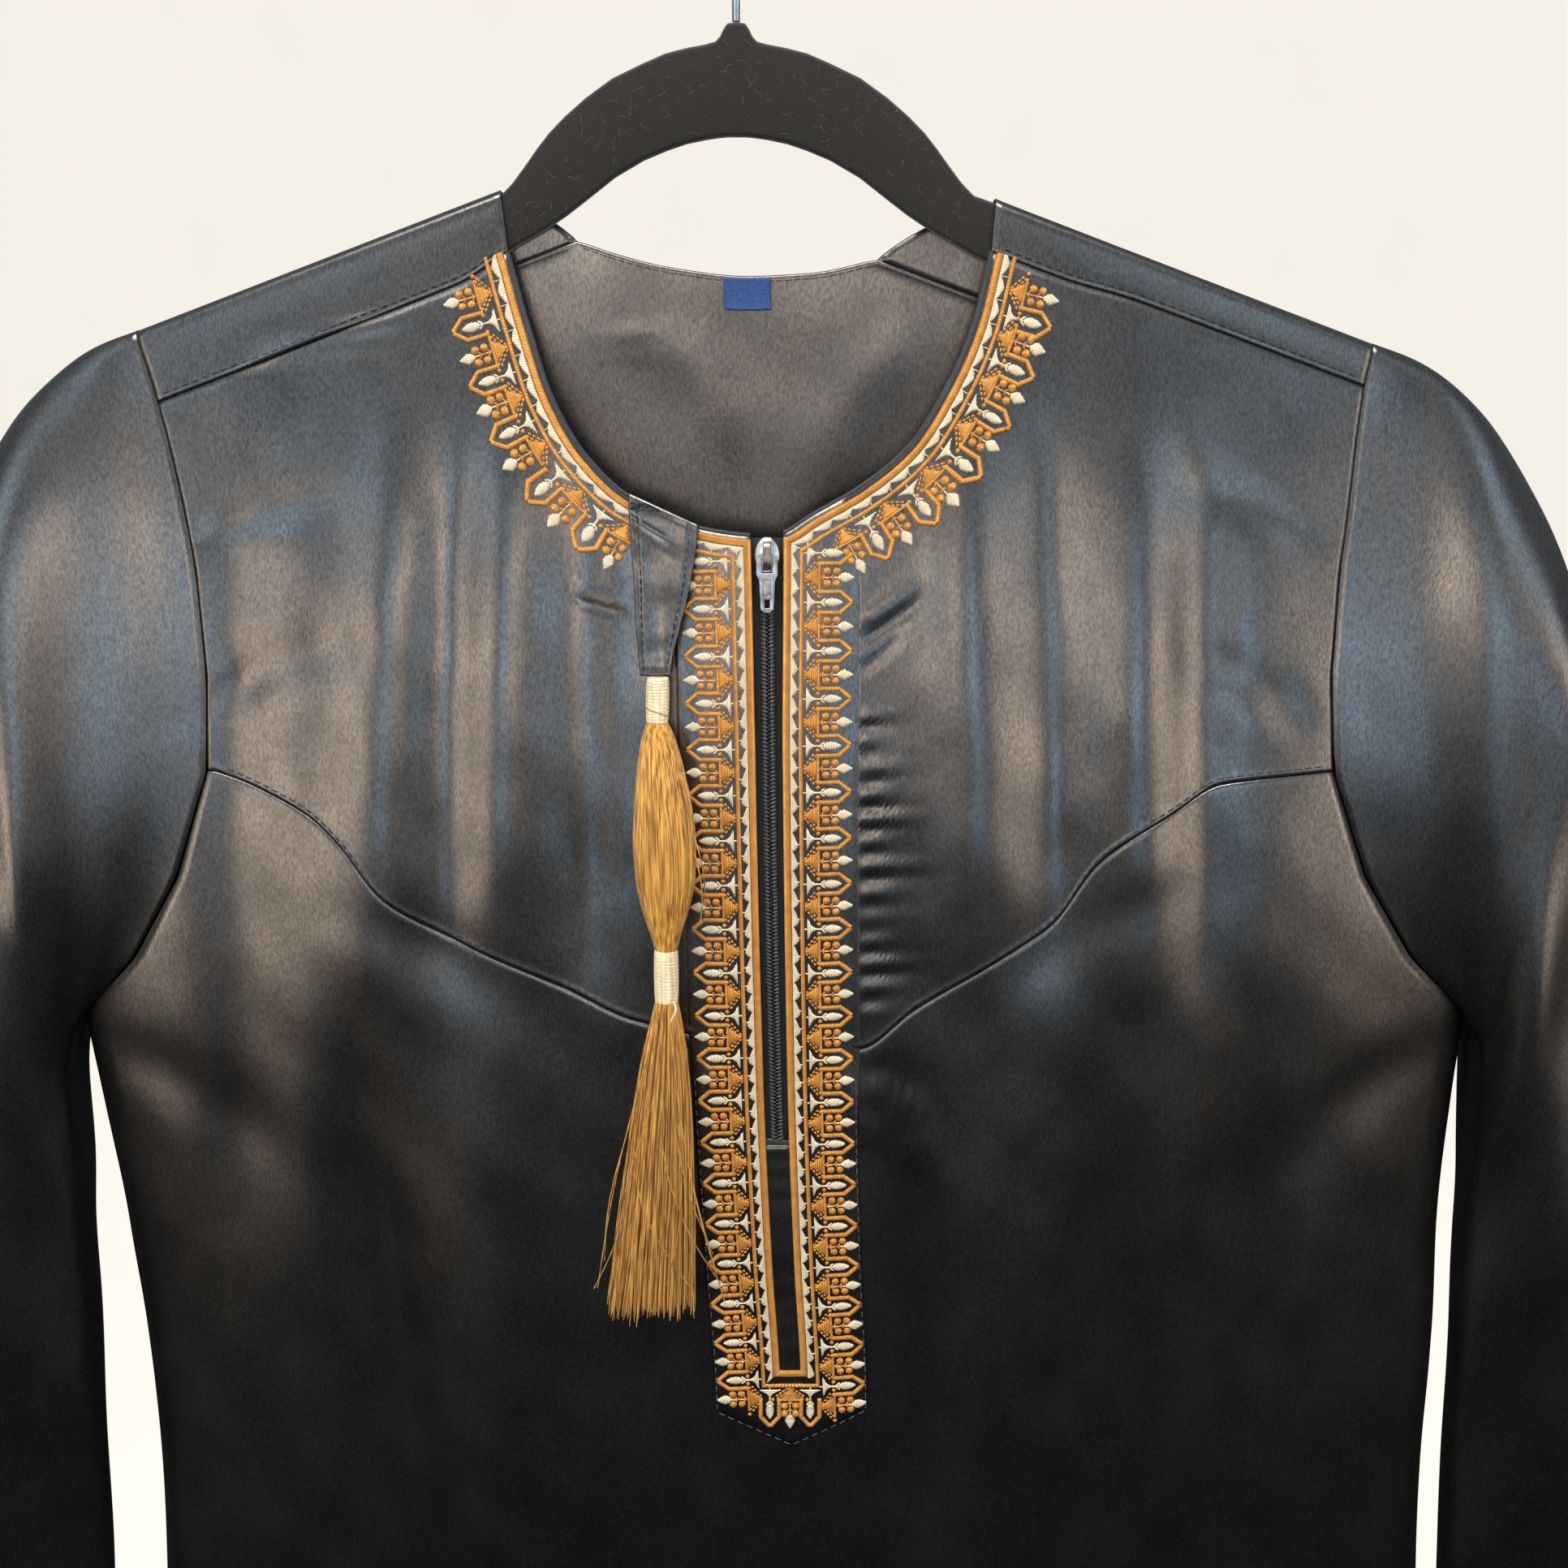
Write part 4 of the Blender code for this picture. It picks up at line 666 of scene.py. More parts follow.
class Finish:
    """A material with one shader, and helpers that add the procedural nodes in front of it."""

    def __init__(self, name, roughness=0.5, metallic=0.0, specular=0.5, sheen=0.0):
        self.material = bpy.data.materials.new(name)
        self.material.use_nodes = True
        self.nodes = self.material.node_tree.nodes
        self.links = self.material.node_tree.links
        self.shader = self.nodes["Principled BSDF"]
        self.shader.inputs["Roughness"].default_value = roughness
        self.shader.inputs["Metallic"].default_value = metallic
        self.shader.inputs["Specular IOR Level"].default_value = specular
        self.shader.inputs["Sheen Weight"].default_value = sheen

    def place(self, scale, source="Object"):
        """Coordinates of the surface, multiplied by the scale along each axis."""
        where = self.nodes.new("ShaderNodeTexCoord")
        mapping = self.nodes.new("ShaderNodeMapping")
        mapping.inputs["Scale"].default_value = scale
        self.links.new(where.outputs[source], mapping.inputs["Vector"])
        return mapping.outputs["Vector"]

    def noise(self, scale, detail=2.0, source="Object"):
        made = self.nodes.new("ShaderNodeTexNoise")
        made.inputs["Scale"].default_value = 1.0
        made.inputs["Detail"].default_value = detail
        self.links.new(self.place(scale, source), made.inputs["Vector"])
        return made.outputs["Fac"]

    def threads(self, scale, distortion, source="UV"):
        made = self.nodes.new("ShaderNodeTexWave")
        made.inputs["Scale"].default_value = 1.0
        made.inputs["Distortion"].default_value = distortion
        made.inputs["Detail"].default_value = 1.0
        made.inputs["Detail Scale"].default_value = 2.0
        self.links.new(self.place(scale, source), made.inputs["Vector"])
        return made.outputs["Fac"]

    def stretch(self, value, low, high, new_low=0.0, new_high=1.0):
        made = self.nodes.new("ShaderNodeMapRange")
        ends = {"From Min": low, "From Max": high, "To Min": new_low, "To Max": new_high}
        for name, number in ends.items():
            made.inputs[name].default_value = number
        self.links.new(value, made.inputs["Value"])
        return made.outputs["Result"]

    def blend(self, share, a, b, how="MIX"):
        """Colour between a and b, each a colour or the output of another node."""
        made = self.nodes.new("ShaderNodeMix")
        made.data_type = "RGBA"
        made.blend_type = how
        if isinstance(share, float):
            made.inputs["Factor"].default_value = share
        else:
            self.links.new(share, made.inputs["Factor"])
        for socket, colour in ((made.inputs[6], a), (made.inputs[7], b)):
            if isinstance(colour, tuple):
                socket.default_value = (*colour, 1)
            else:
                self.links.new(colour, socket)
        return made.outputs[2]

    def colour(self, output):
        self.links.new(output, self.shader.inputs["Base Color"])

    def rough(self, output):
        self.links.new(output, self.shader.inputs["Roughness"])

    def bump(self, *layers):
        """Bumps laid over each other: (height output, strength, depth in metres)."""
        before = None
        for height, strength, depth in layers:
            made = self.nodes.new("ShaderNodeBump")
            made.inputs["Strength"].default_value = strength
            made.inputs["Distance"].default_value = depth
            self.links.new(height, made.inputs["Height"])
            if before is not None:
                self.links.new(before, made.inputs["Normal"])
            before = made.outputs["Normal"]
        self.links.new(before, self.shader.inputs["Normal"])


def satin_finish():
    """Charcoal satin: short upright floats across a near black ground, which catch warm and cool light."""
    made = Finish("charcoal_satin_weave", 0.30, 0.97, 0.5, 0.0)
    floats = made.noise((1300, 1300, 520), 1.0)
    mottle = made.noise((45, 45, 30), 2.0)
    dark = (0.088, 0.086, 0.085)
    light = (0.160, 0.153, 0.147)
    shade = made.blend(made.stretch(floats, 0.30, 0.70), dark, light)
    made.colour(made.blend(made.stretch(mottle, 0.35, 0.70, 0.0, 0.30), shade, dark))
    made.rough(made.stretch(mottle, 0.3, 0.7, 0.27, 0.34))
    made.bump((floats, 0.30, 0.00010))
    return made.material


def thread_finish(name, dark, light, roughness, pitch=0.40, lustre=0.0):
    """Lustrous embroidery thread, laid side by side along U, with painted shade in the gaps between threads
    and painted lit tops on their ridges.
    """
    made = Finish(name, roughness, lustre, 0.5, 0.15)
    strand_ridges_and_gap_shade = made.threads((1 / pitch / 3.183, 0.0, 0.0), 1.2)
    tone = made.noise((300, 300, 300), 2.0)
    # Painted shade and light: the dark colour fills the grooves between the strands, the light one their lit
    # ridges. The tone noise darkens at random.
    shade = made.blend(made.stretch(strand_ridges_and_gap_shade, 0.0, 0.9), dark, light)
    made.colour(made.blend(made.stretch(tone, 0.35, 0.75, 0.0, 0.55), shade, dark))
    made.bump((strand_ridges_and_gap_shade, 0.7, 0.00022), (made.noise((2500, 2500, 2500), 1.0), 0.2, 0.00006))
    return made.material


def plain_thread_finish(name, dark, light, roughness, lustre=0.0):
    """Loose or twisted thread, coloured along its own length."""
    made = Finish(name, roughness, lustre, 0.5, 0.15)
    twist = made.threads((0.5, 1.0, 0.0), 1.0)
    tone = made.noise((1100, 1100, 50), 2.0)
    shade = made.blend(made.stretch(tone, 0.3, 0.7), dark, light)
    made.colour(made.blend(made.stretch(twist, 0.0, 1.0, 0.0, 0.12), shade, dark))
    made.bump((twist, 0.2, 0.00004))
    return made.material


def flock_finish():
    made = Finish("black_flock", 0.95, 0.0, 0.2, 0.5)
    fuzz = made.noise((2600, 2600, 2600), 2.0)
    dust = made.noise((700, 700, 700), 3.0)
    ground = made.blend(made.stretch(fuzz, 0.3, 0.75), (0.006, 0.005, 0.0045), (0.025, 0.022, 0.019))
    made.colour(made.blend(made.stretch(dust, 0.66, 0.80, 0.0, 0.5), ground, (0.16, 0.16, 0.17)))
    made.bump((fuzz, 0.6, 0.0003))
    return made.material


def metal_finish(name, dark, light, roughness):
    made = Finish(name, roughness, 1.0)
    brushed = made.noise((900, 900, 120), 2.0)
    worn = made.noise((260, 260, 260), 3.0)
    made.colour(made.blend(made.stretch(worn, 0.35, 0.7), light, dark))
    made.rough(made.stretch(brushed, 0.3, 0.7, roughness - 0.06, roughness + 0.12))
    made.bump((brushed, 0.12, 0.00004))
    return made.material


def tape_finish():
    made = Finish("black_zip_tape", 0.8, 0.0, 0.35, 0.2)
    ribs = made.threads((1000 / 0.9 / 3.183, 0.0, 0.0), 0.3, "Object")
    weave = made.noise((1500, 1500, 2600), 1.0)
    made.colour(made.blend(made.stretch(weave, 0.3, 0.7), (0.004, 0.004, 0.005), (0.013, 0.013, 0.016)))
    made.bump((ribs, 0.5, 0.00012), (weave, 0.4, 0.00008))
    return made.material


def coil_finish():
    made = Finish("black_nylon_coil", 0.26, 0.0, 0.6)
    tone = made.noise((900, 900, 900), 1.0)
    made.colour(made.blend(made.stretch(tone, 0.3, 0.7), (0.022, 0.022, 0.024), (0.075, 0.077, 0.084)))
    made.rough(made.stretch(tone, 0.3, 0.7, 0.20, 0.36))
    return made.material


def label_finish():
    made = Finish("blue_woven_label", 0.7, 0.0, 0.4, 0.2)
    weave = made.threads((1000 / 0.5 / 3.183, 0.0, 1000 / 0.5 / 3.183), 0.4, "Object")
    tone = made.noise((900, 900, 1600), 2.0)
    shade = made.blend(made.stretch(tone, 0.3, 0.7), (0.010, 0.034, 0.130), (0.026, 0.075, 0.260))
    made.colour(shade)
    made.bump((weave, 0.4, 0.0001))
    return made.material


def stage_finish(name, colour):
    """Pale paper, which glows so that it shows hardly any shade."""
    made = Finish(name, 0.9, 0.0, 0.2)
    tone = made.noise((3, 3, 3), 1.0)
    duller, dim, less_dim = (tuple(channel * share for channel in colour) for share in (0.985, 0.20, 0.21))
    shade = made.blend(made.stretch(tone, 0.3, 0.7), colour, duller)
    made.colour(made.blend(tone, dim, less_dim))
    made.links.new(shade, made.shader.inputs["Emission Color"])
    made.shader.inputs["Emission Strength"].default_value = 0.99
    return made.material


def ride(piece, slot, *nodes, body="garment"):
    """Puts a piece on its body and hides the solids whose place it takes. Its slot is not used."""
    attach(piece, body)
    if nodes:
        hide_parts(*nodes)
    return piece


# Cloth

def swell(distance, width):
    """A round swell, 1 in its middle."""
    return np.exp(-((distance / width) ** 2))


def seam_ridge(distance):
    """Cloth rolled up a little just above a seam, and pulled in at it."""
    return 0.00018 * swell(distance - 0.0016, 0.0012) - 0.0002 * swell(distance, 0.0006)


def upper_front(side, satin):
    """One side of the chest, from the neckline and yoke down to the chest seam."""
    shares = front_columns(side, UPPER_STEP)
    top = settle(side, shares, front_top_line(side))
    foot = settle(side, shares, chest_seam) + SEAM_GAP / 2
    levels = (np.arange(100) / 99) ** 0.98
    z = mix(top, foot + 0.0055, levels[:, None])
    z = np.concatenate([z, foot + ABOVE_SEAM[:, None]])
    x = column_x(side, shares, z)
    points, normals = lay(FRONT, x, z)
    under_yoke = side * (x - YOKE_FRONT_NECK_X[side]) > 0
    out = CLOTH / 2 + seam_ridge(z - foot)
    out = out + np.where(under_yoke, -0.0004 * swell(top - z, 0.0009), 0.0)
    name = "front_upper_left" if side < 0 else "front_upper_right"
    piece = ride(shell(name + "_cloth", points, normals, satin, out), "satin", name)
    return points[:, -1]


def lower_front(satin):
    """The front below the chest seam, cut out where the zip passes."""
    parts = []
    for side in (-1, 1):
        shares = front_columns(side, LOWER_STEP)
        top = settle(side, shares, chest_seam) - SEAM_GAP / 2
        levels = np.linspace(0, 1, 175) ** 1.3
        z = mix(top - 0.0055, HEM_Z, levels[:, None])
        z = np.concatenate([top - BELOW_SEAM[:, None], z])
        x = column_x(side, shares, z)
        parts.append((x[:, ::side], z[:, ::side], np.broadcast_to(top, z.shape)[:, ::side]))
    x, z, top = (np.concatenate([left, right], axis=1) for left, right in zip(*parts))
    points, normals = lay(FRONT, x, z)
    turn_side_seams(points, normals)
    out = CLOTH / 2 - 0.0003 * swell(top - z, 0.0007)
    middle = parts[0][0].shape[1] - 1
    cells = np.ones((x.shape[0] - 1, x.shape[1] - 1), bool)
    cells[z[1:, middle] > SLOT_END_Z, middle] = False
    piece = ride(shell("front_lower_cloth", points, normals, satin, out, cells=cells), "satin", "front_lower")
    return armhole_edges(points, z)


def turn_side_seams(points, normals):
    """Turns the cloth sideways along the side seams, where front and back meet edge to edge."""
    for column, way in ((0, -1.0), (-1, 1.0)):
        low = points[:, column, 2] <= UNDERARM_Z
        normals[low, column] = (way, 0, 0)


def armhole_edges(points, z):
    """The left and the right edge above the underarm, where a sleeve starts."""
    return points[z[:, 0] > UNDERARM_Z][:, 0], points[z[:, -1] > UNDERARM_Z][:, -1]


def back_top(x):
    left = ridge_z(x) - YOKE_BACK_DROP[-1] - SEAM_GAP
    right = ridge_z(x) - YOKE_BACK_DROP[1] - SEAM_GAP
    inner = np.where(x > YOKE_BACK_NECK_X[1] - NECK_CORNER, right, back_neckline(x))
    return np.where(x < YOKE_BACK_NECK_X[-1] + NECK_CORNER, left, inner)


def back_x(share, z):
    """Where a column of the back lies at these heights, from the left edge at -1 to the right one at 1."""
    return centre(z) + share * SHOULDER_HALF + np.sign(share) * share**4 * (edge_half(z) - SHOULDER_HALF)


def back_panel(satin):
    """The back, from the back neckline and yokes to the hem."""
    ends = {side: (x - centre(back_neckline(x))) / SHOULDER_HALF for side, x in YOKE_BACK_NECK_X.items()}
    left = [mix(ends[-1], -1, share) for share in YOKE_SHARES[:0:-1]]
    right = [mix(ends[1], 1, share) for share in YOKE_SHARES[1:]]
    between = [mix(ends[-1], ends[1], k / 8) for k in range(9)]
    shares = refine([*left, *between, *right], LOWER_STEP / SHOULDER_HALF)
    top = settled(len(shares), -0.2, lambda z: back_top(back_x(shares, z)))
    levels = np.linspace(0, 1, 195) ** 1.35
    z = mix(top, HEM_Z, levels[:, None])
    x = back_x(shares, z)
    points, normals = lay(BACK, x, z)
    turn_side_seams(points, normals)
    under_yoke = (x < YOKE_BACK_NECK_X[-1]) | (x > YOKE_BACK_NECK_X[1])
    out = CLOTH / 2 - np.where(under_yoke, 0.0004 * swell(top - z, 0.0012), 0.0)
    piece = ride(shell("back_cloth", points, normals, satin, out), "satin", "back")
    return armhole_edges(points, z)


def yoke_strip(side, satin):
    """A strip over one shoulder: up from the front seam, over the ridge and down the back."""
    corner_x, corner_z = NECKLINE[0 if side < 0 else -1]
    start = (abs(corner_x - centre(corner_z)) - SLOT_HALF) / (SHOULDER_HALF - SLOT_HALF)
    across = refine(YOKE_SHARES, 0.018)
    shares = mix(start, 1, across)
    front_z = settle(side, shares, front_top_line(side)) + SEAM_GAP
    front_x = column_x(side, shares, front_z)
    neck_x = YOKE_BACK_NECK_X[side]
    neck_share = abs(neck_x - centre(back_neckline(neck_x))) / SHOULDER_HALF
    back_shares = side * mix(neck_share, 1, across)
    drop = YOKE_BACK_DROP[side]
    back_z = settled(len(shares), -0.2, lambda z: ridge_z(back_x(back_shares, z)) - drop)
    back_foot = back_x(back_shares, back_z)
    top_x = mix(YOKE_RIDGE_NECK_X[side], column_x(side, 1, -0.19), across)
    rows = []
    for amount in (1.0, 0.96, 0.92, 0.87, 0.82, 0.70, 0.58, 0.46, 0.34, 0.22, 0.11):
        x = mix(top_x, front_x, amount)
        z = mix(ridge_z(x), front_z, amount) if amount < 1 else front_z
        rows.append(lay(FRONT, x, z))
    for degrees in range(0, 181, 15):
        turn = math.radians(degrees)
        way = np.array([0, -math.cos(turn), math.sin(turn)])
        ridge = np.stack([top_x, np.zeros(len(top_x)), ridge_z(top_x)], -1)
        point = ridge + np.array([0, RIDGE_HALF * way[1], RIDGE_RISE * way[2]])
        rows.append((point, np.broadcast_to(way, point.shape)))
    for amount in (0.12, 0.24, 0.36, 0.48, 0.60, 0.72, 0.82, 0.88, 0.94, 1.0):
        x = mix(top_x, back_foot, amount)
        z = mix(ridge_z(x), back_z, amount) if amount < 1 else back_z
        rows.append(lay(BACK, x, z))
    points = np.array([row[0] for row in rows])
    normals = np.array([row[1] for row in rows])
    above_seam = points[..., 2] - np.where(points[..., 1] > 0, back_z, front_z)
    out = CLOTH / 2 + seam_ridge(above_seam)
    name = "shoulder_yoke_left" if side < 0 else "shoulder_yoke_right"
    piece = ride(shell(name + "_cloth", points, normals, satin, out), "satin", name)
    return points[:, -1]


def sleeve(side, front_line, back_line, satin):
    """A tube from the armhole to the open cuff. Its first ring follows the body's armhole edge."""
    first = SLEEVE_RINGS[0]
    numbers = np.linspace(0, len(SLEEVE_RINGS) - 1, SLEEVE_STEPS)
    shape = (curve(numbers)[:, None] for curve in curves(SLEEVE_RINGS))
    top_x, top_z, under_x, under_z, depth, straight = shape
    turn = (2 * math.pi * np.arange(SLEEVE_SIDES) / SLEEVE_SIDES)[None]
    down = (1 - np.cos(turn)) / 2
    is_front = np.sin(turn) > -1e-9
    seam_z = np.where(
        is_front, mix(front_line[0, 2], front_line[-1, 2], down), mix(back_line[0, 2], back_line[-1, 2], down)
    )
    seam = []
    for axis in (0, 1):
        on_front = np.interp(-seam_z, -front_line[:, 2], front_line[:, axis])
        on_back = np.interp(-seam_z, -back_line[:, 2], back_line[:, axis])
        seam.append(np.where(is_front, on_front, on_back))
    seam_x, seam_y = seam
    seam_y = seam_y * (np.abs(np.sin(turn)) > 1e-9)
    across = mix(top_x - first.top_x, under_x - first.under_x, down)
    clear = 0.0006 + 0.0014 * down**2
    bend = straight * (centre(seam_z) + side * mix(first.top_x, first.under_x, down) - seam_x)
    x = seam_x + side * (across + clear) + bend
    z = seam_z + mix(top_z - first.top_z, under_z - first.under_z, down)
    number = numbers[:, None]
    crease = sum(size * np.cos(count * turn + start + 0.5 * number) for count, start, size in SLEEVE_CREASES)
    free = -depth * np.sin(turn) * (1 + crease * np.minimum(number / 4, 1))
    bent = 0.0016 * np.sin(2.1 * number + 2.0 * turn + side) * np.sin(1.3 * number - 3.0 * turn)
    free = free + bent * ease(number / 1.5) * ease((9 - number) / 1.0)
    points = np.stack([x, mix(seam_y, free, straight), z], -1)
    name = "sleeve_left" if side < 0 else "sleeve_right"
    normals = grid_normals(points, ring=True)
    if np.sum(normals[SLEEVE_STEPS // 2, SLEEVE_SIDES // 4] * (0, -1, 0)) < 0:
        normals = -normals
    cloth = shell(name + "_cloth", points, normals, satin, 0.0006, ring=True)
    ride(cloth, "satin", name)


def panel_half(z):
    """Half width of the placket."""
    return mix(PLACKET_HALF, PLACKET_FOOT_HALF, ease((-0.30 - z) / 0.32))


def slot_half(z):
    """Half width of the slot in which the zip shows."""
    return np.interp(-z, (0.265, 0.34, 0.49, 0.607), (0.0060, 0.0051, 0.0047, 0.0043))


def panel_inset(x, z):
    """Distance inside the placket's edge, negative outside it."""
    foot = mix(PLACKET_POINT_Z, PLACKET_FOOT_Z, np.minimum(np.abs(x - centre(z)) / PLACKET_FOOT_HALF, 1))
    return np.minimum(panel_half(z) - np.abs(x - centre(z)), (z - foot) * 0.87)


def panel_face(x, z):
    """How far the placket's face, or the front's beside it, stands out from the front's middle surface."""
    inset = panel_inset(x, z)
    low = ease((-0.46 - z) / 0.03)
    edge = mix(0.0006, 0.0010, low)
    return np.where(inset > 0, mix(edge, PLACKET_FACE, ease(inset / mix(0.014, 0.003, low))), CLOTH / 2)


def placket_cloth(satin):
    """The panel that carries the embroidery: a zip slot above, a point at the foot."""
    across = np.concatenate([np.linspace(1, 0, 24), np.linspace(0, 1, 24)])
    sides = np.repeat((-1.0, 1.0), 24)
    slot_rows, foot_rows = 100, 60

    def at(z):
        return centre(z) + sides * mix(slot_half(z), panel_half(z), across)

    top = settled(48, -0.26, lambda z: neckline(at(z)) - 0.0006, 20)
    foot = mix(PLACKET_POINT_Z, PLACKET_FOOT_Z, mix(slot_half(-0.61) / PLACKET_FOOT_HALF, 1, across))
    beside_slot = [mix(top, SLOT_END_Z, i / slot_rows) for i in range(slot_rows + 1)]
    below_slot = [mix(SLOT_END_Z, foot, i / foot_rows) for i in range(1, foot_rows + 1)]
    z = np.array(beside_slot + below_slot)
    inner = np.linspace(0, 1, 9)[1:-1]
    x, z = (
        np.concatenate([half[:, :24], mix(half[:, 23:24], half[:, 24:25], inner), half[:, 24:]], axis=1)
        for half in (at(z), z)
    )
    points, normals = lay(FRONT, x, z)
    in_slot = np.abs(x - centre(z)) < slot_half(z) + 0.0002
    pucker = 0.00010 * np.sin(z * 520 + 2.5 * np.sin(z * 97)) * (z < SLOT_END_Z)
    out = panel_face(x, z) + np.where(in_slot, pucker - 0.0004, 0.0)
    cells = np.ones((slot_rows + foot_rows, x.shape[1] - 1), bool)
    cells[:slot_rows, 23:31] = False
    cloth = ride(shell("placket_cloth", points, normals, satin, out, 0.0007, cells=cells), "satin", "placket")


# Embroidery, in millimetres: v along the band from a motif's axis and u outwards from the cord's inner edge.
# PITCHES are those of the scallops on the band's five legs. MOTIFS are finials and buds, along their leg.

GOLD, CREAM = "gold", "cream"
Shape = namedtuple("Shape", "thread line halves height mirrored")
BUD = [
    Shape(CREAM, [(0, 7.7), (0, 8.9)], [0.3, 0.3], 0.40, False),
    Shape(
        CREAM, [(0, 8.8), (0, 9.3), (0, 10.1), (0, 11.1), (0, 12.3)], [4.7, 4.0, 2.2, 1.0, 0.40], 0.55, False
    ),
    Shape(CREAM, [(0, 12.0), (0, 16.6)], [0.38, 0.34], 0.50, False),
    Shape(CREAM, [(0, 14.3), (0.9, 15.1), (1.6, 16.1)], [0.28, 0.42, 0.20], 0.55, True),
    Shape(
        CREAM, [(0, 15.6), (0, 16.8), (0, 18.4), (0, 20.4), (0, 22.4)],
        [0.7, 1.50, 1.75, 1.35, 0.3], 0.80, False
    ),
]
ARCH_SIDE = Shape(GOLD, [(3.8, 12.9), (3.85, 21.4), (0.0, 26.0)], [0.86, 0.90, 0.88], 0.75, True)
FINIAL = [
    Shape(GOLD, [(0, 7.9), (0, 9.2), (0, 11.2), (0, 13.3)], [0.3, 1.2, 2.6, 4.0], 0.55, False),
    Shape(GOLD, [(-5.6, 13.5), (5.6, 13.5)], [0.58, 0.58], 0.70, False),
    Shape(GOLD, [(0, 13.7), (0, 21.0)], [0.36, 0.40], 0.50, False),
    Shape(GOLD, [(0, 14.3), (1.3, 15.6)], [0.25, 0.35], 0.55, True),
    Shape(GOLD, [(0, 17.9), (1.2, 18.9)], [0.25, 0.35], 0.55, True),
    Shape(CREAM, [(0.1, 14.6), (-0.1, 17.0)], [0.22, 0.22], 0.66, False),
    Shape(CREAM, [(0, 18.6), (0, 21.2)], [0.30, 0.35], 0.66, False),
    Shape(
        CREAM, [(0, 20.6), (0, 21.9), (0, 23.4), (0, 24.9), (0, 26.7)],
        [0.5, 1.7, 2.1, 1.35, 0.15], 0.80, False
    ),
]
DOTS = [(u, v) for u in (16.4, 20.0) for v in (-2.3, 2.3)]
DASHED = [((0.7, 8.1), (7.0, 12.9)), ((0.3, 9.2), (6.0, 13.6))]
KNOB = (7.15, 13.4)
PITCHES = (9.1, 7.5, 8.6, 7.5, 8.5)
LEFT_MOTIFS = ((12.4, 32.5, 50.2, 67.9, 87.7, 106.1), (22.3, 41.8, 59.2, 78.5, 97.2))
RIGHT_MOTIFS = ((20.5, 37.9, 55.5, 73.9, 91.4, 107.5, 123.4), (29.6, 47.7, 64.5, 82.1, 99.1, 114.4))
TICK = Shape(CREAM, [(0, 3.1), (0.1, 6.4)], [0.26, 0.22], 0.6, False)


class Leg:
    """One side of the embroidered band: s runs along its inner edge and u outwards across the cloth."""

    def __init__(self, line):
        self.line = np.asarray(line, float)
        self.at = np.concatenate([[0], np.cumsum(np.linalg.norm(np.diff(self.line, axis=0), axis=1))])
        self.length = self.at[-1]

    def inside(self, s):
        return np.stack([np.interp(s, self.at, self.line[:, k]) for k in (0, 1)], -1)

    def direction(self, s):
        reach = min(0.004, self.length / 2.5)
        s = np.clip(s, reach, self.length - reach)
        return unit(self.inside(s + reach) - self.inside(s - reach))

    def place(self, s, u):
        direction = self.direction(s)
        kept = np.clip(s, 0, self.length)
        outward = np.stack([direction[..., 1], -direction[..., 0]], -1)
        return self.inside(kept) + direction * (s - kept)[..., None] + outward * u[..., None]

    def at_z(self, z):
        """Distance along a nearly upright leg at this height, also a little past its ends."""
        order = np.argsort(self.line[:, 1])
        heights, at = self.line[order, 1], self.at[order]
        kept = min(max(z, heights[0]), heights[-1])
        way = np.sign(at[-1] - at[0])
        return float(np.interp(kept, heights, at) + way * (z - kept))


class Stitching:
    """Raised thread, gathered in the cloth's own (x, z) places and laid on the front all at once."""

    def __init__(self):
        self.places, self.heights, self.uv, self.faces, self.count = [], [], [], [], 0

    def grid(self, places, heights, along, across):
        rows, columns = heights.shape
        self.places.append(places.reshape(-1, 2))
        self.heights.append(heights.ravel())
        self.uv.append(np.stack([along, across], -1).reshape(-1, 2))
        self.faces.append(grid_quads(rows, columns) + self.count)
        self.count += rows * columns

    def build(self, name, finish):
        x, z = np.concatenate(self.places).T
        points, normals = lay(FRONT, x, z, panel_face(x, z) + np.concatenate(self.heights))
        faces = np.concatenate(self.faces)
        corner = points[faces[:, 0]]
        turn = np.cross(points[faces[:, 1]] - corner, points[faces[:, 3]] - corner)
        flipped = np.sum(turn * normals[faces[:, 0]], axis=1) < 0
        faces[flipped] = faces[flipped][:, ::-1]
        return new_piece(name, points, faces.tolist(), finish, np.concatenate(self.uv))


# Section of a stitched column: places across it, and its height there as a share
CROSS = np.array([-1.0, -0.86, -0.45, 0.0, 0.45, 0.86, 1.0])
CROSS_HEIGHT = np.array([-0.25, 0.55, 0.92, 1.0, 0.92, 0.55, -0.25])


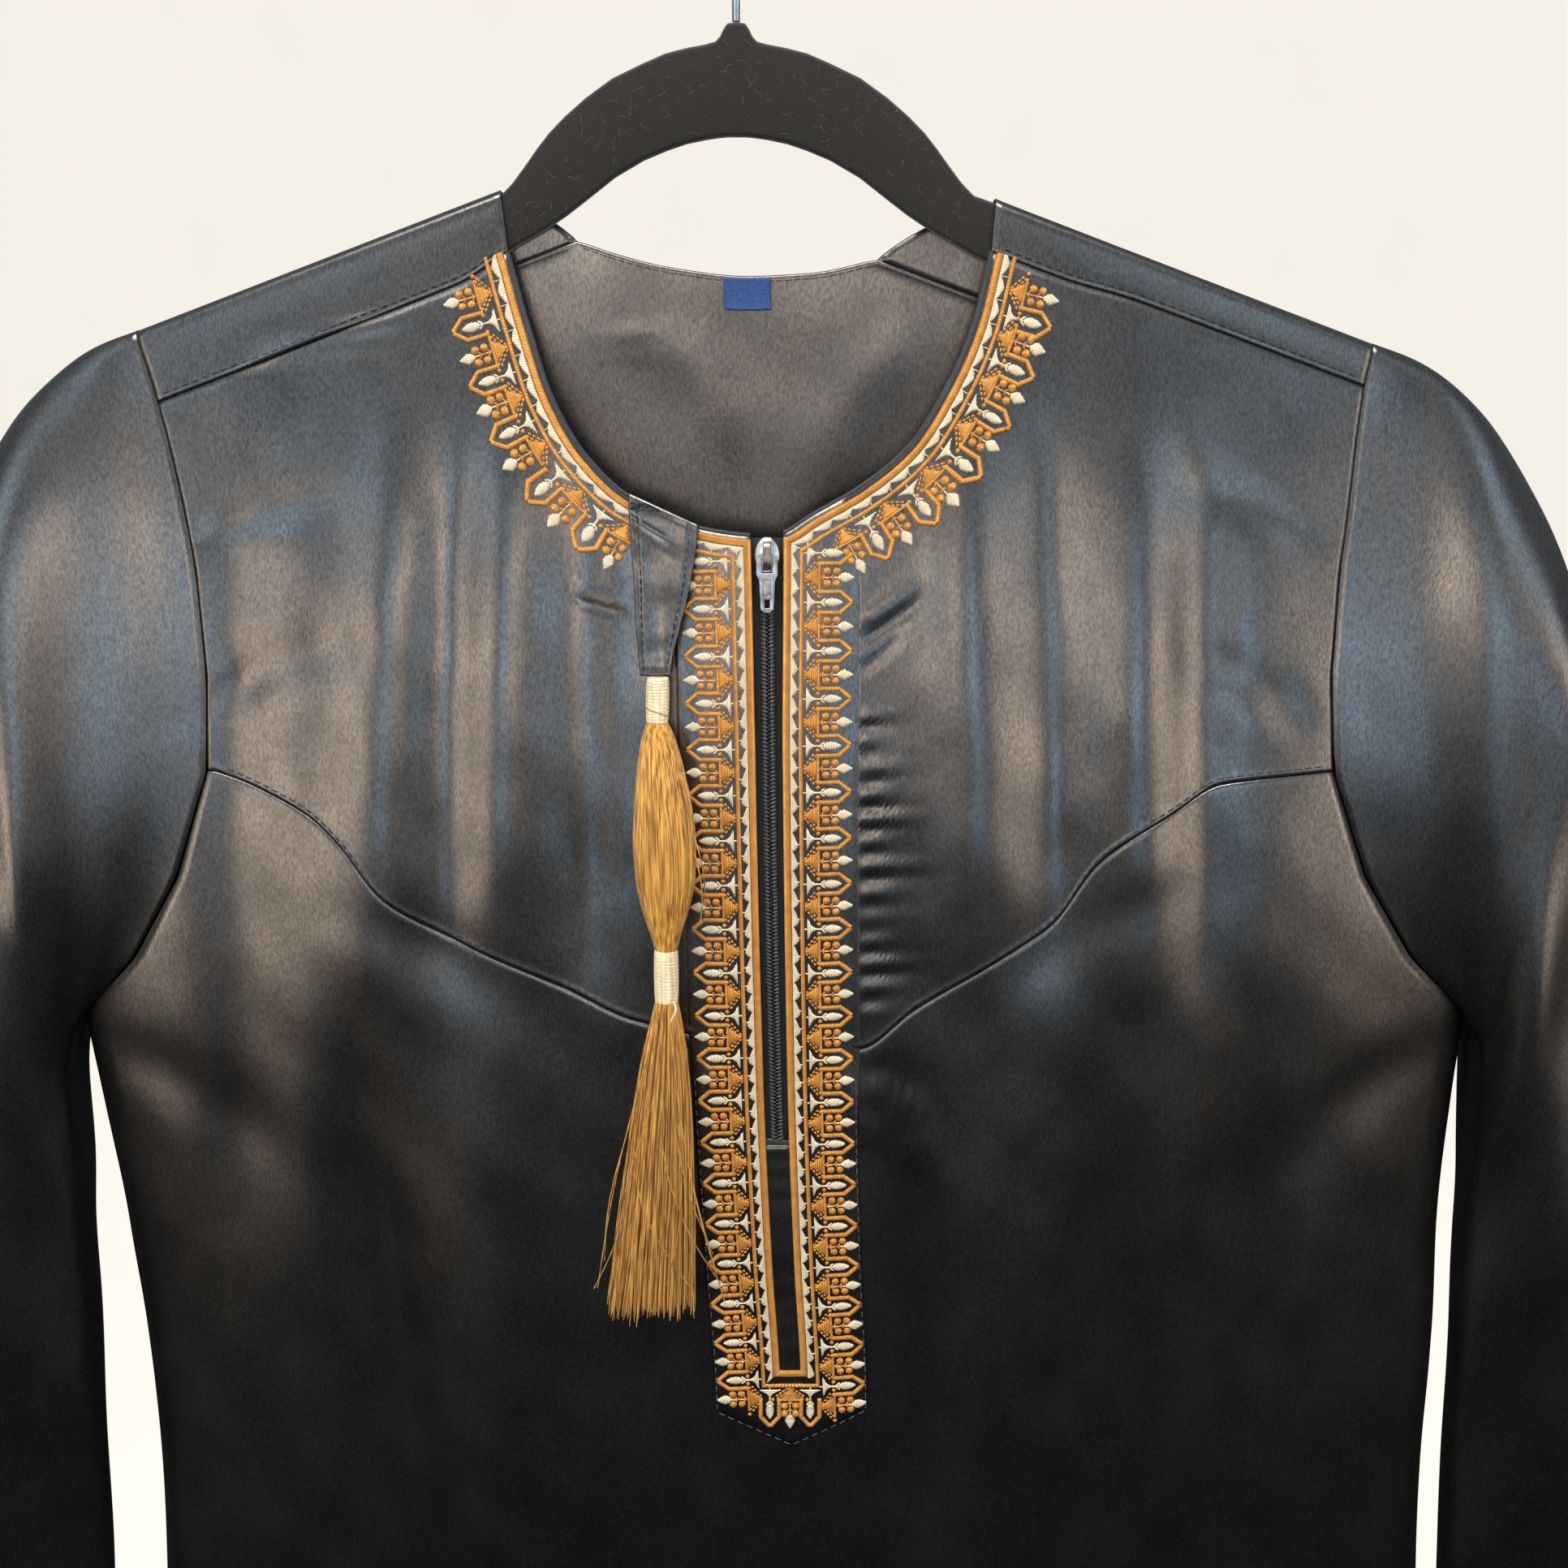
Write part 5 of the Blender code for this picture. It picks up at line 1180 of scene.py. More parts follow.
def sweep(threads, leg, axis, shape, flip=1, step=0.40):
    """A satin stitch shape along its line, with uneven edges where the thread turns back."""
    line = np.array(shape.line, float)
    line[:, 0] *= flip
    lengths = np.concatenate([[0], np.cumsum(np.linalg.norm(np.diff(line, axis=0), axis=1))])
    count = max(2, int(lengths[-1] / step) + 1)
    along = np.unique(np.concatenate([np.linspace(0, lengths[-1], count), lengths]))
    centre_line = np.stack([np.interp(along, lengths, line[:, k]) for k in (0, 1)], -1)
    ahead = unit(np.gradient(centre_line, along, axis=0))
    beside = np.stack([ahead[:, 1], -ahead[:, 0]], -1)
    halves = np.interp(along, lengths, shape.halves)
    uneven = 1 + 0.10 * np.where(np.arange(len(along)) % 2, 1, -1) + random.uniform(-0.06, 0.06, len(along))
    halves = halves * np.where(halves > 0.5, uneven, 1.0)
    places = centre_line[:, None] + beside[:, None] * CROSS[None, :, None] * halves[:, None, None]
    heights = shape.height * np.broadcast_to(CROSS_HEIGHT, places.shape[:2]).copy()
    heights[[0, -1]] = -0.12
    laid = leg.place((axis + places[..., 0]) / 1000, places[..., 1] / 1000)
    along, across = np.broadcast_arrays(along[:, None], CROSS)
    threads[shape.thread].grid(laid, heights / 1000, along, across)


def both(threads, leg, axis, shapes):
    """The shapes of a motif, and the mirror images of those that have one."""
    for shape in shapes:
        for flip in (1, -1) if shape.mirrored else (1,):
            sweep(threads, leg, axis, shape, flip)


def knot(threads, leg, axis, v, u, radius, height=0.9):
    """A round dot of padded satin stitch."""
    turns = np.linspace(0, 2 * math.pi, 13)
    rings = np.array([0.02, 0.50, 0.86, 1.03])
    rise = np.array([1.0, 0.88, 0.50, -0.2]) * height
    ragged = 1 + random.uniform(-0.07, 0.07, 13)
    ragged[-1] = ragged[0]
    places_v = v + radius * rings[:, None] * np.cos(turns)[None] * ragged[None]
    places_u = u + radius * rings[:, None] * np.sin(turns)[None] * ragged[None]
    laid = leg.place((axis + places_v) / 1000, places_u / 1000)
    heights = np.broadcast_to(rise[:, None], places_v.shape)
    threads[GOLD].grid(laid, heights / 1000, places_u + 40, places_v)


def dashes(threads, leg, axis, start, end, half=0.42, dash=1.40, gap=0.35):
    """A straight row of short stitches."""
    start, end = np.array(start), np.array(end)
    length = np.linalg.norm(end - start)
    for k in range(int(length / (dash + gap)) + 1):
        ends = [k * (dash + gap) / length, min(k * (dash + gap) + dash, length) / length]
        if ends[1] - ends[0] < 0.03:
            continue
        line = [tuple(mix(start, end, share)) for share in ends]
        sweep(threads, leg, axis, Shape(GOLD, line, [half, half], 0.55, False), step=0.6)


def finial(threads, leg, axis):
    """A triangle with four dots and a cream drop, under two dashed slopes."""
    both(threads, leg, axis, FINIAL)
    for u, v in DOTS:
        knot(threads, leg, axis, v, u, 1.52)
    for flip in (1, -1):
        for start, end in DASHED:
            dashes(threads, leg, axis, (flip * start[0], start[1]), (flip * end[0], end[1]))
        knot(threads, leg, axis, flip * KNOB[0], KNOB[1], 0.85, 0.75)


def bud(threads, leg, axis, arms=(1, -1)):
    """A cream bud in a gold arch."""
    both(threads, leg, axis, BUD)
    for flip in arms:
        sweep(threads, leg, axis, ARCH_SIDE, flip)


def strip(threads, thread, leg, turns, inner, outer, height, step=0.6, groove=0.0):
    """A stitched column along a whole leg, mitred at the turns to its neighbours."""
    start_turn, end_turn = turns
    count = int(leg.length * 1000 / step)
    t = np.linspace(0, 1, count)[:, None]
    share = (CROSS + 1) / 2
    middle = t * leg.length * 1000
    u = mix(inner(middle), outer(middle), share[None])
    s = mix(-u * start_turn, leg.length * 1000 + u * end_turn, t)
    heights = np.broadcast_to(CROSS_HEIGHT * height, u.shape).copy()
    heights[:, 3] -= groove
    laid = leg.place(s / 1000, u / 1000)
    threads[thread].grid(laid, heights / 1000, *np.broadcast_arrays(middle, CROSS))


def flat_edge(value):
    return lambda s: np.full(np.shape(s), float(value))


def band_legs():
    """The band's path: down the left neckline, round the zip and up the right neckline."""
    x = np.linspace(NECKLINE[0][0], 0.0040, 300)
    left_neck = np.stack([x, neckline(x)], -1)
    x = np.linspace(0.0168, NECKLINE[-1][0], 300)
    right_neck = np.stack([x, neckline(x)], -1)
    moved = []
    for line, by in ((left_neck, 0.0015), (right_neck, 0.0018)):
        ahead = unit(np.gradient(line, axis=0))
        moved.append(line + np.stack([ahead[:, 1], -ahead[:, 0]], -1) * by)
    left_neck, right_neck = moved
    z = np.linspace(left_neck[-1, 1], SLOT_FOOT_Z, 120)
    left_zip = np.stack([centre(z) - slot_half(z), z], -1)
    z = np.linspace(SLOT_FOOT_Z, right_neck[0, 1], 120)
    right_zip = np.stack([centre(z) + slot_half(z), z], -1)
    left_neck[-1] = left_zip[0]
    right_neck[0] = right_zip[-1]
    foot = np.linspace(left_zip[-1], right_zip[0], 9)
    return [Leg(line) for line in (left_neck, left_zip, foot, right_zip, right_neck)]


def turn_between(before, after):
    """Tangent of half the left turn from one leg to the next."""
    a = before.direction(np.array(before.length))
    b = after.direction(np.array(0.0))
    return math.tan(0.5 * math.atan2(a[0] * b[1] - a[1] * b[0], a @ b))


def scallop(pitch, pointed):
    """Outer edge of the cream strip: a valley at each tick and a crest between."""

    def edge(s):
        place = s / pitch
        wave = 1 - np.abs(2 * (place - np.floor(place)) - 1)
        round_wave = np.sqrt(np.clip(1 - (1 - wave) ** 2, 0, 1))
        return 3.35 + 2.45 * mix(round_wave, wave, pointed)

    return edge


def embroidery(finishes):
    """Cord, scallops and strip along the whole path, with finials and buds in turn outside them."""
    threads = {GOLD: Stitching(), CREAM: Stitching()}
    legs = band_legs()
    left_neck, left_zip, foot, right_zip, right_neck = legs
    turns = [turn_between(a, b) for a, b in zip(legs, legs[1:])]
    ends = list(zip([0.0, *turns], [*turns, 0.0]))
    for number, (leg, turn, pitch) in enumerate(zip(legs, ends, PITCHES)):
        groove = 0.45 if number == 0 else 0.0
        strip(threads, GOLD, leg, turn, flat_edge(0.0), flat_edge(2.75), 0.85, groove=groove)
        strip(threads, GOLD, leg, turn, flat_edge(6.15), flat_edge(7.75), 0.62)
        if leg is foot:
            continue
        outer = scallop(pitch, 0.6 if number in (1, 3) else 0.5)
        strip(threads, CREAM, leg, turn, flat_edge(2.85), outer, 0.55, step=0.35)
        for k in range(1, int(leg.length * 1000 / pitch) + 1):
            sweep(threads, leg, k * pitch, TICK)
    for leg, pitch, finial_z, bud_z, first_bud, top_arm in (
        (right_zip, 0.018078, -0.2987, -0.2717, 0, -1),
        (left_zip, 0.017706, -0.3009, -0.3009 + 0.00885, -1, 1),
    ):
        for k in range(-1, 19):
            finial(threads, leg, 1000 * leg.at_z(finial_z - k * pitch))
        for k in range(first_bud, first_bud + 20):
            z = bud_z - k * pitch
            bud(threads, leg, 1000 * leg.at_z(z), arms=(1, -1) if z < -0.28 else (top_arm,))
    for leg, finials, buds in ((left_neck, *LEFT_MOTIFS), (right_neck, *RIGHT_MOTIFS)):
        for s in finials:
            finial(threads, leg, s)
        for s in buds:
            bud(threads, leg, s)
    middle = foot.length * 500
    for side in (-1, 1):
        bud(threads, foot, middle + side * 8.4)
    finial(threads, foot, middle)
    for thread, name in ((GOLD, "embroidery_gold"), (CREAM, "embroidery_cream")):
        ride(threads[thread].build(name, finishes[thread]), thread + "_thread")


# Hanger

def hanger_body(flock, lint):
    """The flocked arms, and lint that clings to them."""
    rows = np.array([(-x, top, foot) for x, top, foot in reversed(HANGER_ROWS[1:])] + HANGER_ROWS)
    x = refine(list(rows[:, 0]), 0.0025)
    top = np.interp(x, rows[:, 0], rows[:, 1])
    foot = np.interp(x, rows[:, 0], rows[:, 2])
    middle, high = (top + foot) / 2, (top - foot) / 2
    corner = np.minimum(0.0022, high * 0.6)
    turns = np.radians(np.arange(0, 360, 10))
    c, s = np.cos(turns)[None], np.sin(turns)[None]
    y = np.sign(c) * (HANGER_HALF_THICK - corner[:, None]) + corner[:, None] * c
    z = middle[:, None] + np.sign(s) * (high - corner)[:, None] + corner[:, None] * s
    y = np.where(np.abs(c) < 1e-6, 0.0, y)
    z = np.where(np.abs(s) < 1e-6, middle[:, None], z)
    points = np.stack([np.broadcast_to(x[:, None], y.shape), y, z], -1)
    faces = grid_quads(len(x), len(turns), ring=True).tolist()
    faces.append(list(range(len(turns)))[::-1])
    faces.append([(len(x) - 1) * len(turns) + j for j in range(len(turns))])
    body = new_piece("hanger_flock", points.reshape(-1, 3), faces, flock)
    ride(body, "flock", "hanger_body")
    count = 420
    column = random.integers(0, len(x), count)
    facing = random.choice((-1.0, 1.0), count)[:, None]
    roots = np.stack([x[column], facing[:, 0] * HANGER_HALF_THICK,
                      middle[column] + random.uniform(-0.9, 0.9, count) * high[column]], -1)
    heading = unit(random.normal(size=(count, 3)) * (1, 0.25, 1))
    length = random.uniform(0.0012, 0.0042, count)[:, None]
    bend = random.normal(size=(count, 3)) * (1, 0, 1) * length * 0.3
    t = np.linspace(0, 1, 6)[:, None]
    paths = roots[:, None] + (heading * length)[:, None] * t + bend[:, None] * t * (1 - t)
    paths[..., 1] = facing * np.maximum(facing * paths[..., 1], HANGER_HALF_THICK + LINT_RADIUS)
    fluff = Pile()
    fluff.tubes(paths, LINT_RADIUS, 3)
    ride(fluff.build("hanger_lint", lint), "flock")


def hanger_hook(steel):
    """The wire: a stem, a bend to one side and most of a turn round the rail."""
    middle_z = HOOK_WIRE / 2 - HOOK_RADIUS
    start = math.radians(-58)
    enter = np.array([HOOK_RADIUS * math.cos(start), middle_z + HOOK_RADIUS * math.sin(start)])
    heading = np.array([-math.sin(start), math.cos(start)])
    low, low_pull = np.array([0.0, -0.062]), np.array([0.0, -0.052])
    enter_pull = enter - heading * 0.008
    t = np.linspace(0, 1, 25)[1:-1, None]
    bend = (1 - t) ** 3 * low + 3 * t * (1 - t) ** 2 * low_pull
    bend = bend + 3 * t * t * (1 - t) * enter_pull + t**3 * enter
    angles = start + np.radians(262) * np.linspace(0, 1, 90)
    arc = np.stack([HOOK_RADIUS * np.cos(angles), middle_z + HOOK_RADIUS * np.sin(angles)], -1)
    stem = np.stack([np.zeros(12), np.linspace(STEM_FOOT_Z, low[1], 12)], -1)
    route = np.concatenate([stem, bend, arc])
    path = np.stack([route[:, 0], np.zeros(len(route)), route[:, 1]], -1)
    radius = np.full(len(path), HOOK_WIRE / 2)
    tip = arc[-1] - arc[-2]
    tip = np.array([tip[0], 0, tip[1]]) / np.linalg.norm(tip)
    rounding = np.array([(0.0006, 0.92), (0.0011, 0.70), (0.0014, 0.35), (0.0015, 0.02)])
    path = np.concatenate([path, path[-1] + tip * rounding[:, :1]])
    radius = np.concatenate([radius, rounding[:, 1] * HOOK_WIRE / 2])
    wire = Pile()
    wire.tubes([path], radius, 20, axis=(0, 1, 0))
    ride(wire.build("hook_wire", steel), "steel", "hanger_hook")


def neck_edge_painted_shade(thread):
    """Turned and stitched edge of the neck opening, drawn as near-black rolls beside the cord: painted shade
    that covers the highlight the satin edge would catch.
    """
    pile = Pile()
    for start, end in ((NECKLINE[0][0], 0.0045), (0.0170, NECKLINE[-1][0])):
        x = np.linspace(start, end, 120)
        for down, out, radius in NECK_SHADE_ROLLS:
            path, _ = lay(FRONT, x, neckline(x) - down, np.full(120, out))
            pile.tubes([path], radius, 8)
    ride(pile.build("neck_edge_painted_shade", thread), "satin")


def stitch_paths(face, x, z, out, pitch=0.0040, length=0.0025):
    """Paths of even stitches along a line on the cloth, sunk into it at both ends."""
    at = np.concatenate([[0], np.cumsum(np.hypot(np.diff(x), np.diff(z)))])
    count = int(at[-1] / pitch)
    middles = (np.arange(count) + 0.5) * at[-1] / count
    s = middles[:, None] + length * np.array([-0.5, -0.44, -0.2, 0.2, 0.44, 0.5])
    out = np.interp(s, at, np.broadcast_to(out, at.shape))
    lift = np.sign(out) * 0.0001 * np.array([-3.0, 0.2, 0.9, 0.9, 0.2, -3.0])
    return lay(face, np.interp(s, at, x), np.interp(s, at, z), out + lift)[0]


def topstitching(thread, pale_thread):
    """Rows of stitches beside the seams, round the placket and along the neck's back edge."""
    rows = []
    for side in (-1, 1):
        x = np.linspace(YOKE_FRONT_NECK_X[side] + side * 0.004, centre(-0.21) + side * 0.2235, 60)
        seam = ridge_z(x) - yoke_front_drop[side](np.abs(x))
        rows.append(stitch_paths(FRONT, x, seam + 0.0024, CLOTH / 2 + 0.0004))
        share = np.linspace(0.05, 0.95, 20)
        neck_x = mix(YOKE_RIDGE_NECK_X[side], YOKE_FRONT_NECK_X[side], share) + side * 0.0022
        neck_z = mix(ridge_z(neck_x), seam[0], share)
        rows.append(stitch_paths(FRONT, neck_x, neck_z, CLOTH / 2))
        x = np.linspace(YOKE_BACK_NECK_X[side] + side * 0.003, centre(-0.21) + side * 0.2235, 60)
        seam = ridge_z(x) - YOKE_BACK_DROP[side]
        rows.append(stitch_paths(BACK, x, seam + 0.0024, CLOTH / 2 + 0.0004))
        start, end = ((-0.2000, centre(-0.46) - 0.036), (centre(-0.46) + 0.036, 0.2260))[side > 0]
        x = np.linspace(start, end, 200)
        rows.append(stitch_paths(FRONT, x, chest_seam(x) + 0.0026, CLOTH / 2 + 0.0004, 0.0038))
    for face in (FRONT, BACK):
        x = centre(HEM_Z) + np.linspace(-0.352, 0.352, 200)
        rows.append(stitch_paths(face, x, np.full(200, HEM_Z + 0.020), CLOTH / 2, 0.0045))
    x = np.linspace(YOKE_BACK_NECK_X[-1] + 0.002, YOKE_BACK_NECK_X[1] - 0.002, 80)
    rows.append(stitch_paths(BACK, x, back_neckline(x) - 0.0016, -CLOTH / 2, 0.0033))
    dark = Pile()
    dark.tubes(np.concatenate(rows), STITCH_RADII, 5)
    ride(dark.build("topstitching", thread), "satin")
    rows = []
    z = np.linspace(-0.478, PLACKET_FOOT_Z - 0.001, 90)
    for side in (-1, 1):
        x = centre(z) + side * (panel_half(z) - 0.0014)
        rows.append(stitch_paths(FRONT, x, z, PLACKET_FACE, 0.0042))
        share = np.linspace(0, 1, 20)
        corner_x = centre(PLACKET_FOOT_Z) + side * (PLACKET_FOOT_HALF - 0.0014)
        foot_x = mix(corner_x, centre(PLACKET_POINT_Z), share)
        foot_z = mix(PLACKET_FOOT_Z - 0.001, PLACKET_POINT_Z + 0.0016, share)
        rows.append(stitch_paths(FRONT, foot_x, foot_z, PLACKET_FACE, 0.0042))
    pale = Pile()
    pale.tubes(np.concatenate(rows), STITCH_RADII, 5)
    ride(pale.build("placket_stitching", pale_thread), "satin")


def zip_axes():
    """Origin on the front's middle surface at the slider, and the directions out and up along the surface."""
    z = SLIDER_Z + np.array([0.0, 0.004, -0.004])
    (origin, upper, lower), _ = lay(PLAIN_FRONT, np.full(3, centre(SLIDER_Z)), z)
    up = unit((upper - lower) * (0, 1, 1))
    out = np.cross(up, (1, 0, 0))
    return origin, out * -np.sign(out[1]), up


def from_zip(x, out_by, up_by):
    """Points at these distances from the slider's origin."""
    origin, out, up = zip_axes()
    x, out_by, up_by = (np.asarray(by, float)[..., None] for by in np.broadcast_arrays(x, out_by, up_by))
    return origin + x * (1, 0, 0) + out_by * out + up_by * up


def zip_strips(tape, nylon, thread):
    """Woven tape behind the slot, with the two interlocked coils sewn along its middle."""
    z = np.linspace(ZIP_TOP_Z - 0.0010, ZIP_FOOT_Z, 40)[:, None]
    across = np.linspace(-TAPE_HALF, TAPE_HALF, 101)[None]
    points, normals = lay(FRONT, centre(z) + across, np.broadcast_to(z, (40, 101)))
    ribs = 0.00010 * np.cos(2 * math.pi * across / 0.0012) * ease((np.abs(across) - 0.0026) / 0.0006)
    piece = shell("zip_tape_cloth", points, normals, tape, TAPE_OUT + ribs, 0.0009)
    ride(piece, "zip_tape", "zip_tape")

    top = SLIDER_Z - 0.0072
    turns = int((top - ZIP_FOOT_Z) / COIL_PITCH)
    angle = np.linspace(0, 2 * math.pi * turns, 11 * turns)
    coils = Pile()
    for side in (-1, 1):
        phase = 0.0 if side < 0 else math.pi
        z = top - COIL_PITCH * (angle + phase) / (2 * math.pi)
        x = centre(z) + side * (0.00118 + 0.00110 * np.cos(angle))
        path, _ = lay(FRONT, x, z, 0.0003 + 0.00075 * np.sin(angle))
        coils.tubes([path], 0.00036, 6)
        z = np.linspace(top, ZIP_FOOT_Z, 200)
        path, _ = lay(FRONT, centre(z) + side * 0.00125, z, np.full(200, 0.0003))
        coils.tubes([path], 0.00050, 8)
    ride(coils.build("zip_coils", nylon), "zip_coil", "zip_chain")
    sewing = Pile()
    for side in (-1, 1):
        z = np.linspace(top, ZIP_FOOT_Z, 7 * turns)
        lift = np.cos(2 * math.pi * (top - z) / COIL_PITCH)
        for x in (0.00150, 0.00195):
            path, _ = lay(FRONT, centre(z) + side * (x + 0.00006 * lift), z, 0.00105 + 0.00016 * lift)
            sewing.tubes([path], 0.00011, 4)
    ride(sewing.build("zip_sewing", thread), "zip_coil")


def zip_slider(metal, strap_metal):
    """The slider: two plates with the coils' way between them, a domed face and the strap for the pull."""
    half = smooth_curve([
        (-0.0070, 0.0034), (-0.0045, 0.0038), (-0.0012, 0.0047),
        (0.0016, 0.0046), (0.0048, 0.0037), (0.0065, 0.0022),
    ])
    turns = np.linspace(0, 2 * math.pi, 48, endpoint=False)
    up = -0.00025 + 0.00675 * np.sin(turns)
    x = np.sign(np.cos(turns)) * half(up) * np.abs(np.cos(turns)) ** 0.25
    # layers of the body: (distance out from the cloth, scale of the outline)
    layers = np.array([
        (-0.0004, 0.02), (-0.0004, 0.93), (-0.0002, 0.99), (0.0006, 0.99), (0.0008, 0.94), (0.0009, 0.82),
        (0.0016, 0.82), (0.0017, 0.95), (0.0019, 1.0), (0.0025, 1.0), (0.0029, 0.96), (0.0032, 0.88),
        (0.00345, 0.72), (0.0036, 0.45), (0.00365, 0.02),
    ])
    out, scale = layers.T[:, :, None]
    points = from_zip(x * scale, out + 0 * x, -0.00025 + (up + 0.00025) * scale)
    pile = Pile()
    pile.add(points.reshape(-1, 3), grid_quads(len(layers), len(turns), ring=True)[:, ::-1])
    ride(pile.build("slider_body", metal), "zip_metal", "zip_slider")
    arch = np.array([
        (0.0026, 0.0047), (0.0040, 0.0045), (0.0051, 0.0036), (0.0056, 0.0018),
        (0.0057, -0.0004), (0.0056, -0.0022), (0.0051, -0.0038), (0.0040, -0.0050), (0.0026, -0.0055),
    ])
    fine = np.linspace(0, len(arch) - 1, 40)
    out, up = (curve(fine) for curve in curves(arch))
    strap = Pile()
    strap.tubes([from_zip(0.0, out, up)], 0.00044, 16, flat=0.00158 / 0.00044, square=0.5, axis=(1, 0, 0))
    ride(strap.build("slider_strap", strap_metal), "zip_metal")


def rounded_box(half_x, top, foot, power=0.35, count=28):
    """Outline of a window with rounded corners, (x, distance down from the pull's pivot)."""
    turns = np.linspace(0, 2 * math.pi, count, endpoint=False)
    c, s = np.cos(turns), np.sin(turns)
    x = half_x * np.sign(c) * np.abs(c) ** power
    down = (top + foot) / 2 + (foot - top) / 2 * np.sign(s) * np.abs(s) ** power
    return np.stack([x, down], -1)


def flat_shape(outlines, half_thick, bevel):
    """Points and faces of a plate with holes and rounded edges, drawn as (x, distance down) outlines."""
    curve = bpy.data.curves.new("plate", "CURVE")
    curve.dimensions = "2D"
    curve.fill_mode = "BOTH"
    curve.extrude = half_thick - bevel
    curve.bevel_depth = bevel
    curve.bevel_resolution = 2
    for outline in outlines:
        line = curve.splines.new("POLY")
        line.points.add(len(outline) - 1)
        line.use_cyclic_u = True
        for point, (x, down) in zip(line.points, outline):
            point.co = (x, -down, 0, 1)
    drawn = bpy.data.objects.new("plate", curve)
    mesh = bpy.data.meshes.new_from_object(drawn)
    points = np.array([corner.co for corner in mesh.vertices])
    faces = [list(face.vertices) for face in mesh.polygons]
    bpy.data.objects.remove(drawn)
    bpy.data.curves.remove(curve)
    bpy.data.meshes.remove(mesh)
    return points, faces


def zip_pull(metal):
    """The pull tab: rails round a window, a tapered neck with a sunk bare panel and a small end window."""
    half = smooth_curve([
        (-0.0006, 0.0036), (0.0006, 0.0038), (0.0066, 0.0038), (0.0092, 0.0028),
        (0.0152, 0.0025), (0.0190, 0.0023), (0.0206, 0.0022),
    ])
    down = np.concatenate([-0.0008 + 0.0009 * (1 - np.cos(np.linspace(0, math.pi / 2, 6))),
                           np.linspace(0.0004, 0.0196, 40),
                           0.0197 + 0.0011 * np.sin(np.linspace(0, math.pi / 2, 6))])
    top_rounding = np.sqrt(np.clip((down + 0.0008) / 0.0009, 0.35, 1))
    foot_rounding = np.sqrt(np.clip((0.0209 - down) / 0.0011, 0.3, 1))
    x = half(down) * (top_rounding * foot_rounding)
    outer = np.concatenate([np.stack([x, down], -1), np.stack([-x, down], -1)[::-1]])
    window = rounded_box(0.0021, 0.0007, 0.0066)
    panel = rounded_box(0.0015, 0.0086, 0.0148)
    eye = rounded_box(0.00115, 0.0160, 0.0194)
    pile = Pile()
    for outlines, half_thick, bevel in (
        ((outer, window, panel, eye), 0.0006, 0.00016),
        ((rounded_box(0.0017, 0.0082, 0.0152),), 0.00034, 0.00004),
    ):
        local, faces = flat_shape(outlines, half_thick, bevel)
        placed = from_zip(local[:, 0], PULL_AXIS_OUT + local[:, 2], PULL_AXIS_UP + local[:, 1])
        pile.add(placed, faces)
    piece = pile.build("pull_tab", metal)
    welded = piece.modifiers.new("weld", "WELD")
    welded.merge_threshold = 0.000005
    ride(piece, "zip_metal", "zip_pull", body="zip_pull")


def tab(satin, thread):
    """The cloth tab that carries the tassel. It comes over the neck's edge and narrows to the binding."""
    shape = curves(TAB_ROWS)
    number = np.linspace(0, len(TAB_ROWS) - 1, 80)
    left_x, left_z, right_x, right_z, out = (curve(number)[:, None] for curve in shape)
    k = np.linspace(0, 1, 34)[None]
    x, z = mix(left_x, right_x, k), mix(left_z, right_z, k)
    level = np.linspace(0, 1, 80)[:, None]
    crease = -0.0005 * swell(level - 0.13 - 0.10 * k, 0.026) * ease((0.75 - k) / 0.3)
    crease = crease + 0.0002 * swell(level - 0.20 - 0.10 * k, 0.04) * ease((0.85 - k) / 0.3)
    seam = -0.00035 * (swell(k - 0.11, 0.022) + swell(k - 0.89, 0.022))
    rolled = 0.0004 * (swell(k, 0.04) + swell(1 - k, 0.04))
    waves = 0.0003 * np.sin(9 * level + 4 * k + 1) * np.sin(17 * level - 3 * k)
    over = ease(level / 0.05)
    rise = mix(-0.0003, 0.0, over) + out + 0.0007 * np.sin(math.pi * k) + crease + seam * over + rolled
    points, normals = lay(FRONT, x, z + 0.0007 * (1 - over), rise + waves * over)
    cloth = ride(shell("tab_cloth", points, normals, satin, 0.0004, 0.0009), "satin", "tassel_tab")
    sewn = Pile()
    for k in (0.11, 0.89):
        number = np.linspace(0.25, len(TAB_ROWS) - 1.1, 60)
        left_x, left_z, right_x, right_z, out = (curve(number) for curve in shape)
        line_x, line_z = mix(left_x, right_x, k), mix(left_z, right_z, k)
        height = out + 0.0007 * math.sin(math.pi * k) + 0.00035
        sewn.tubes(stitch_paths(FRONT, line_x, line_z, height, 0.0031, 0.0021), STITCH_RADII, 5)
    end_x = np.linspace(-0.0352, -0.0258, 12)
    sewn.tubes(stitch_paths(FRONT, end_x, np.full(12, -0.3138), 0.0081, 0.0031, 0.0021), STITCH_RADII, 5)
    turn = np.linspace(0, 9 * math.pi, 160)
    tack_x = mix(-0.0388, -0.0300, np.linspace(0, 1, 160)) + 0.0016 * np.sin(turn)
    tack_z = -0.2545 + 0.0012 * np.cos(0.8 * turn) - 0.0007 * np.linspace(0, 1, 160)
    path, _ = lay(FRONT, tack_x, tack_z, 0.0043 + 0.0004 * np.sin(1.3 * turn))
    sewn.tubes([path], 0.00028, 5)
    ride(sewn.build("tab_stitching", thread), "satin")


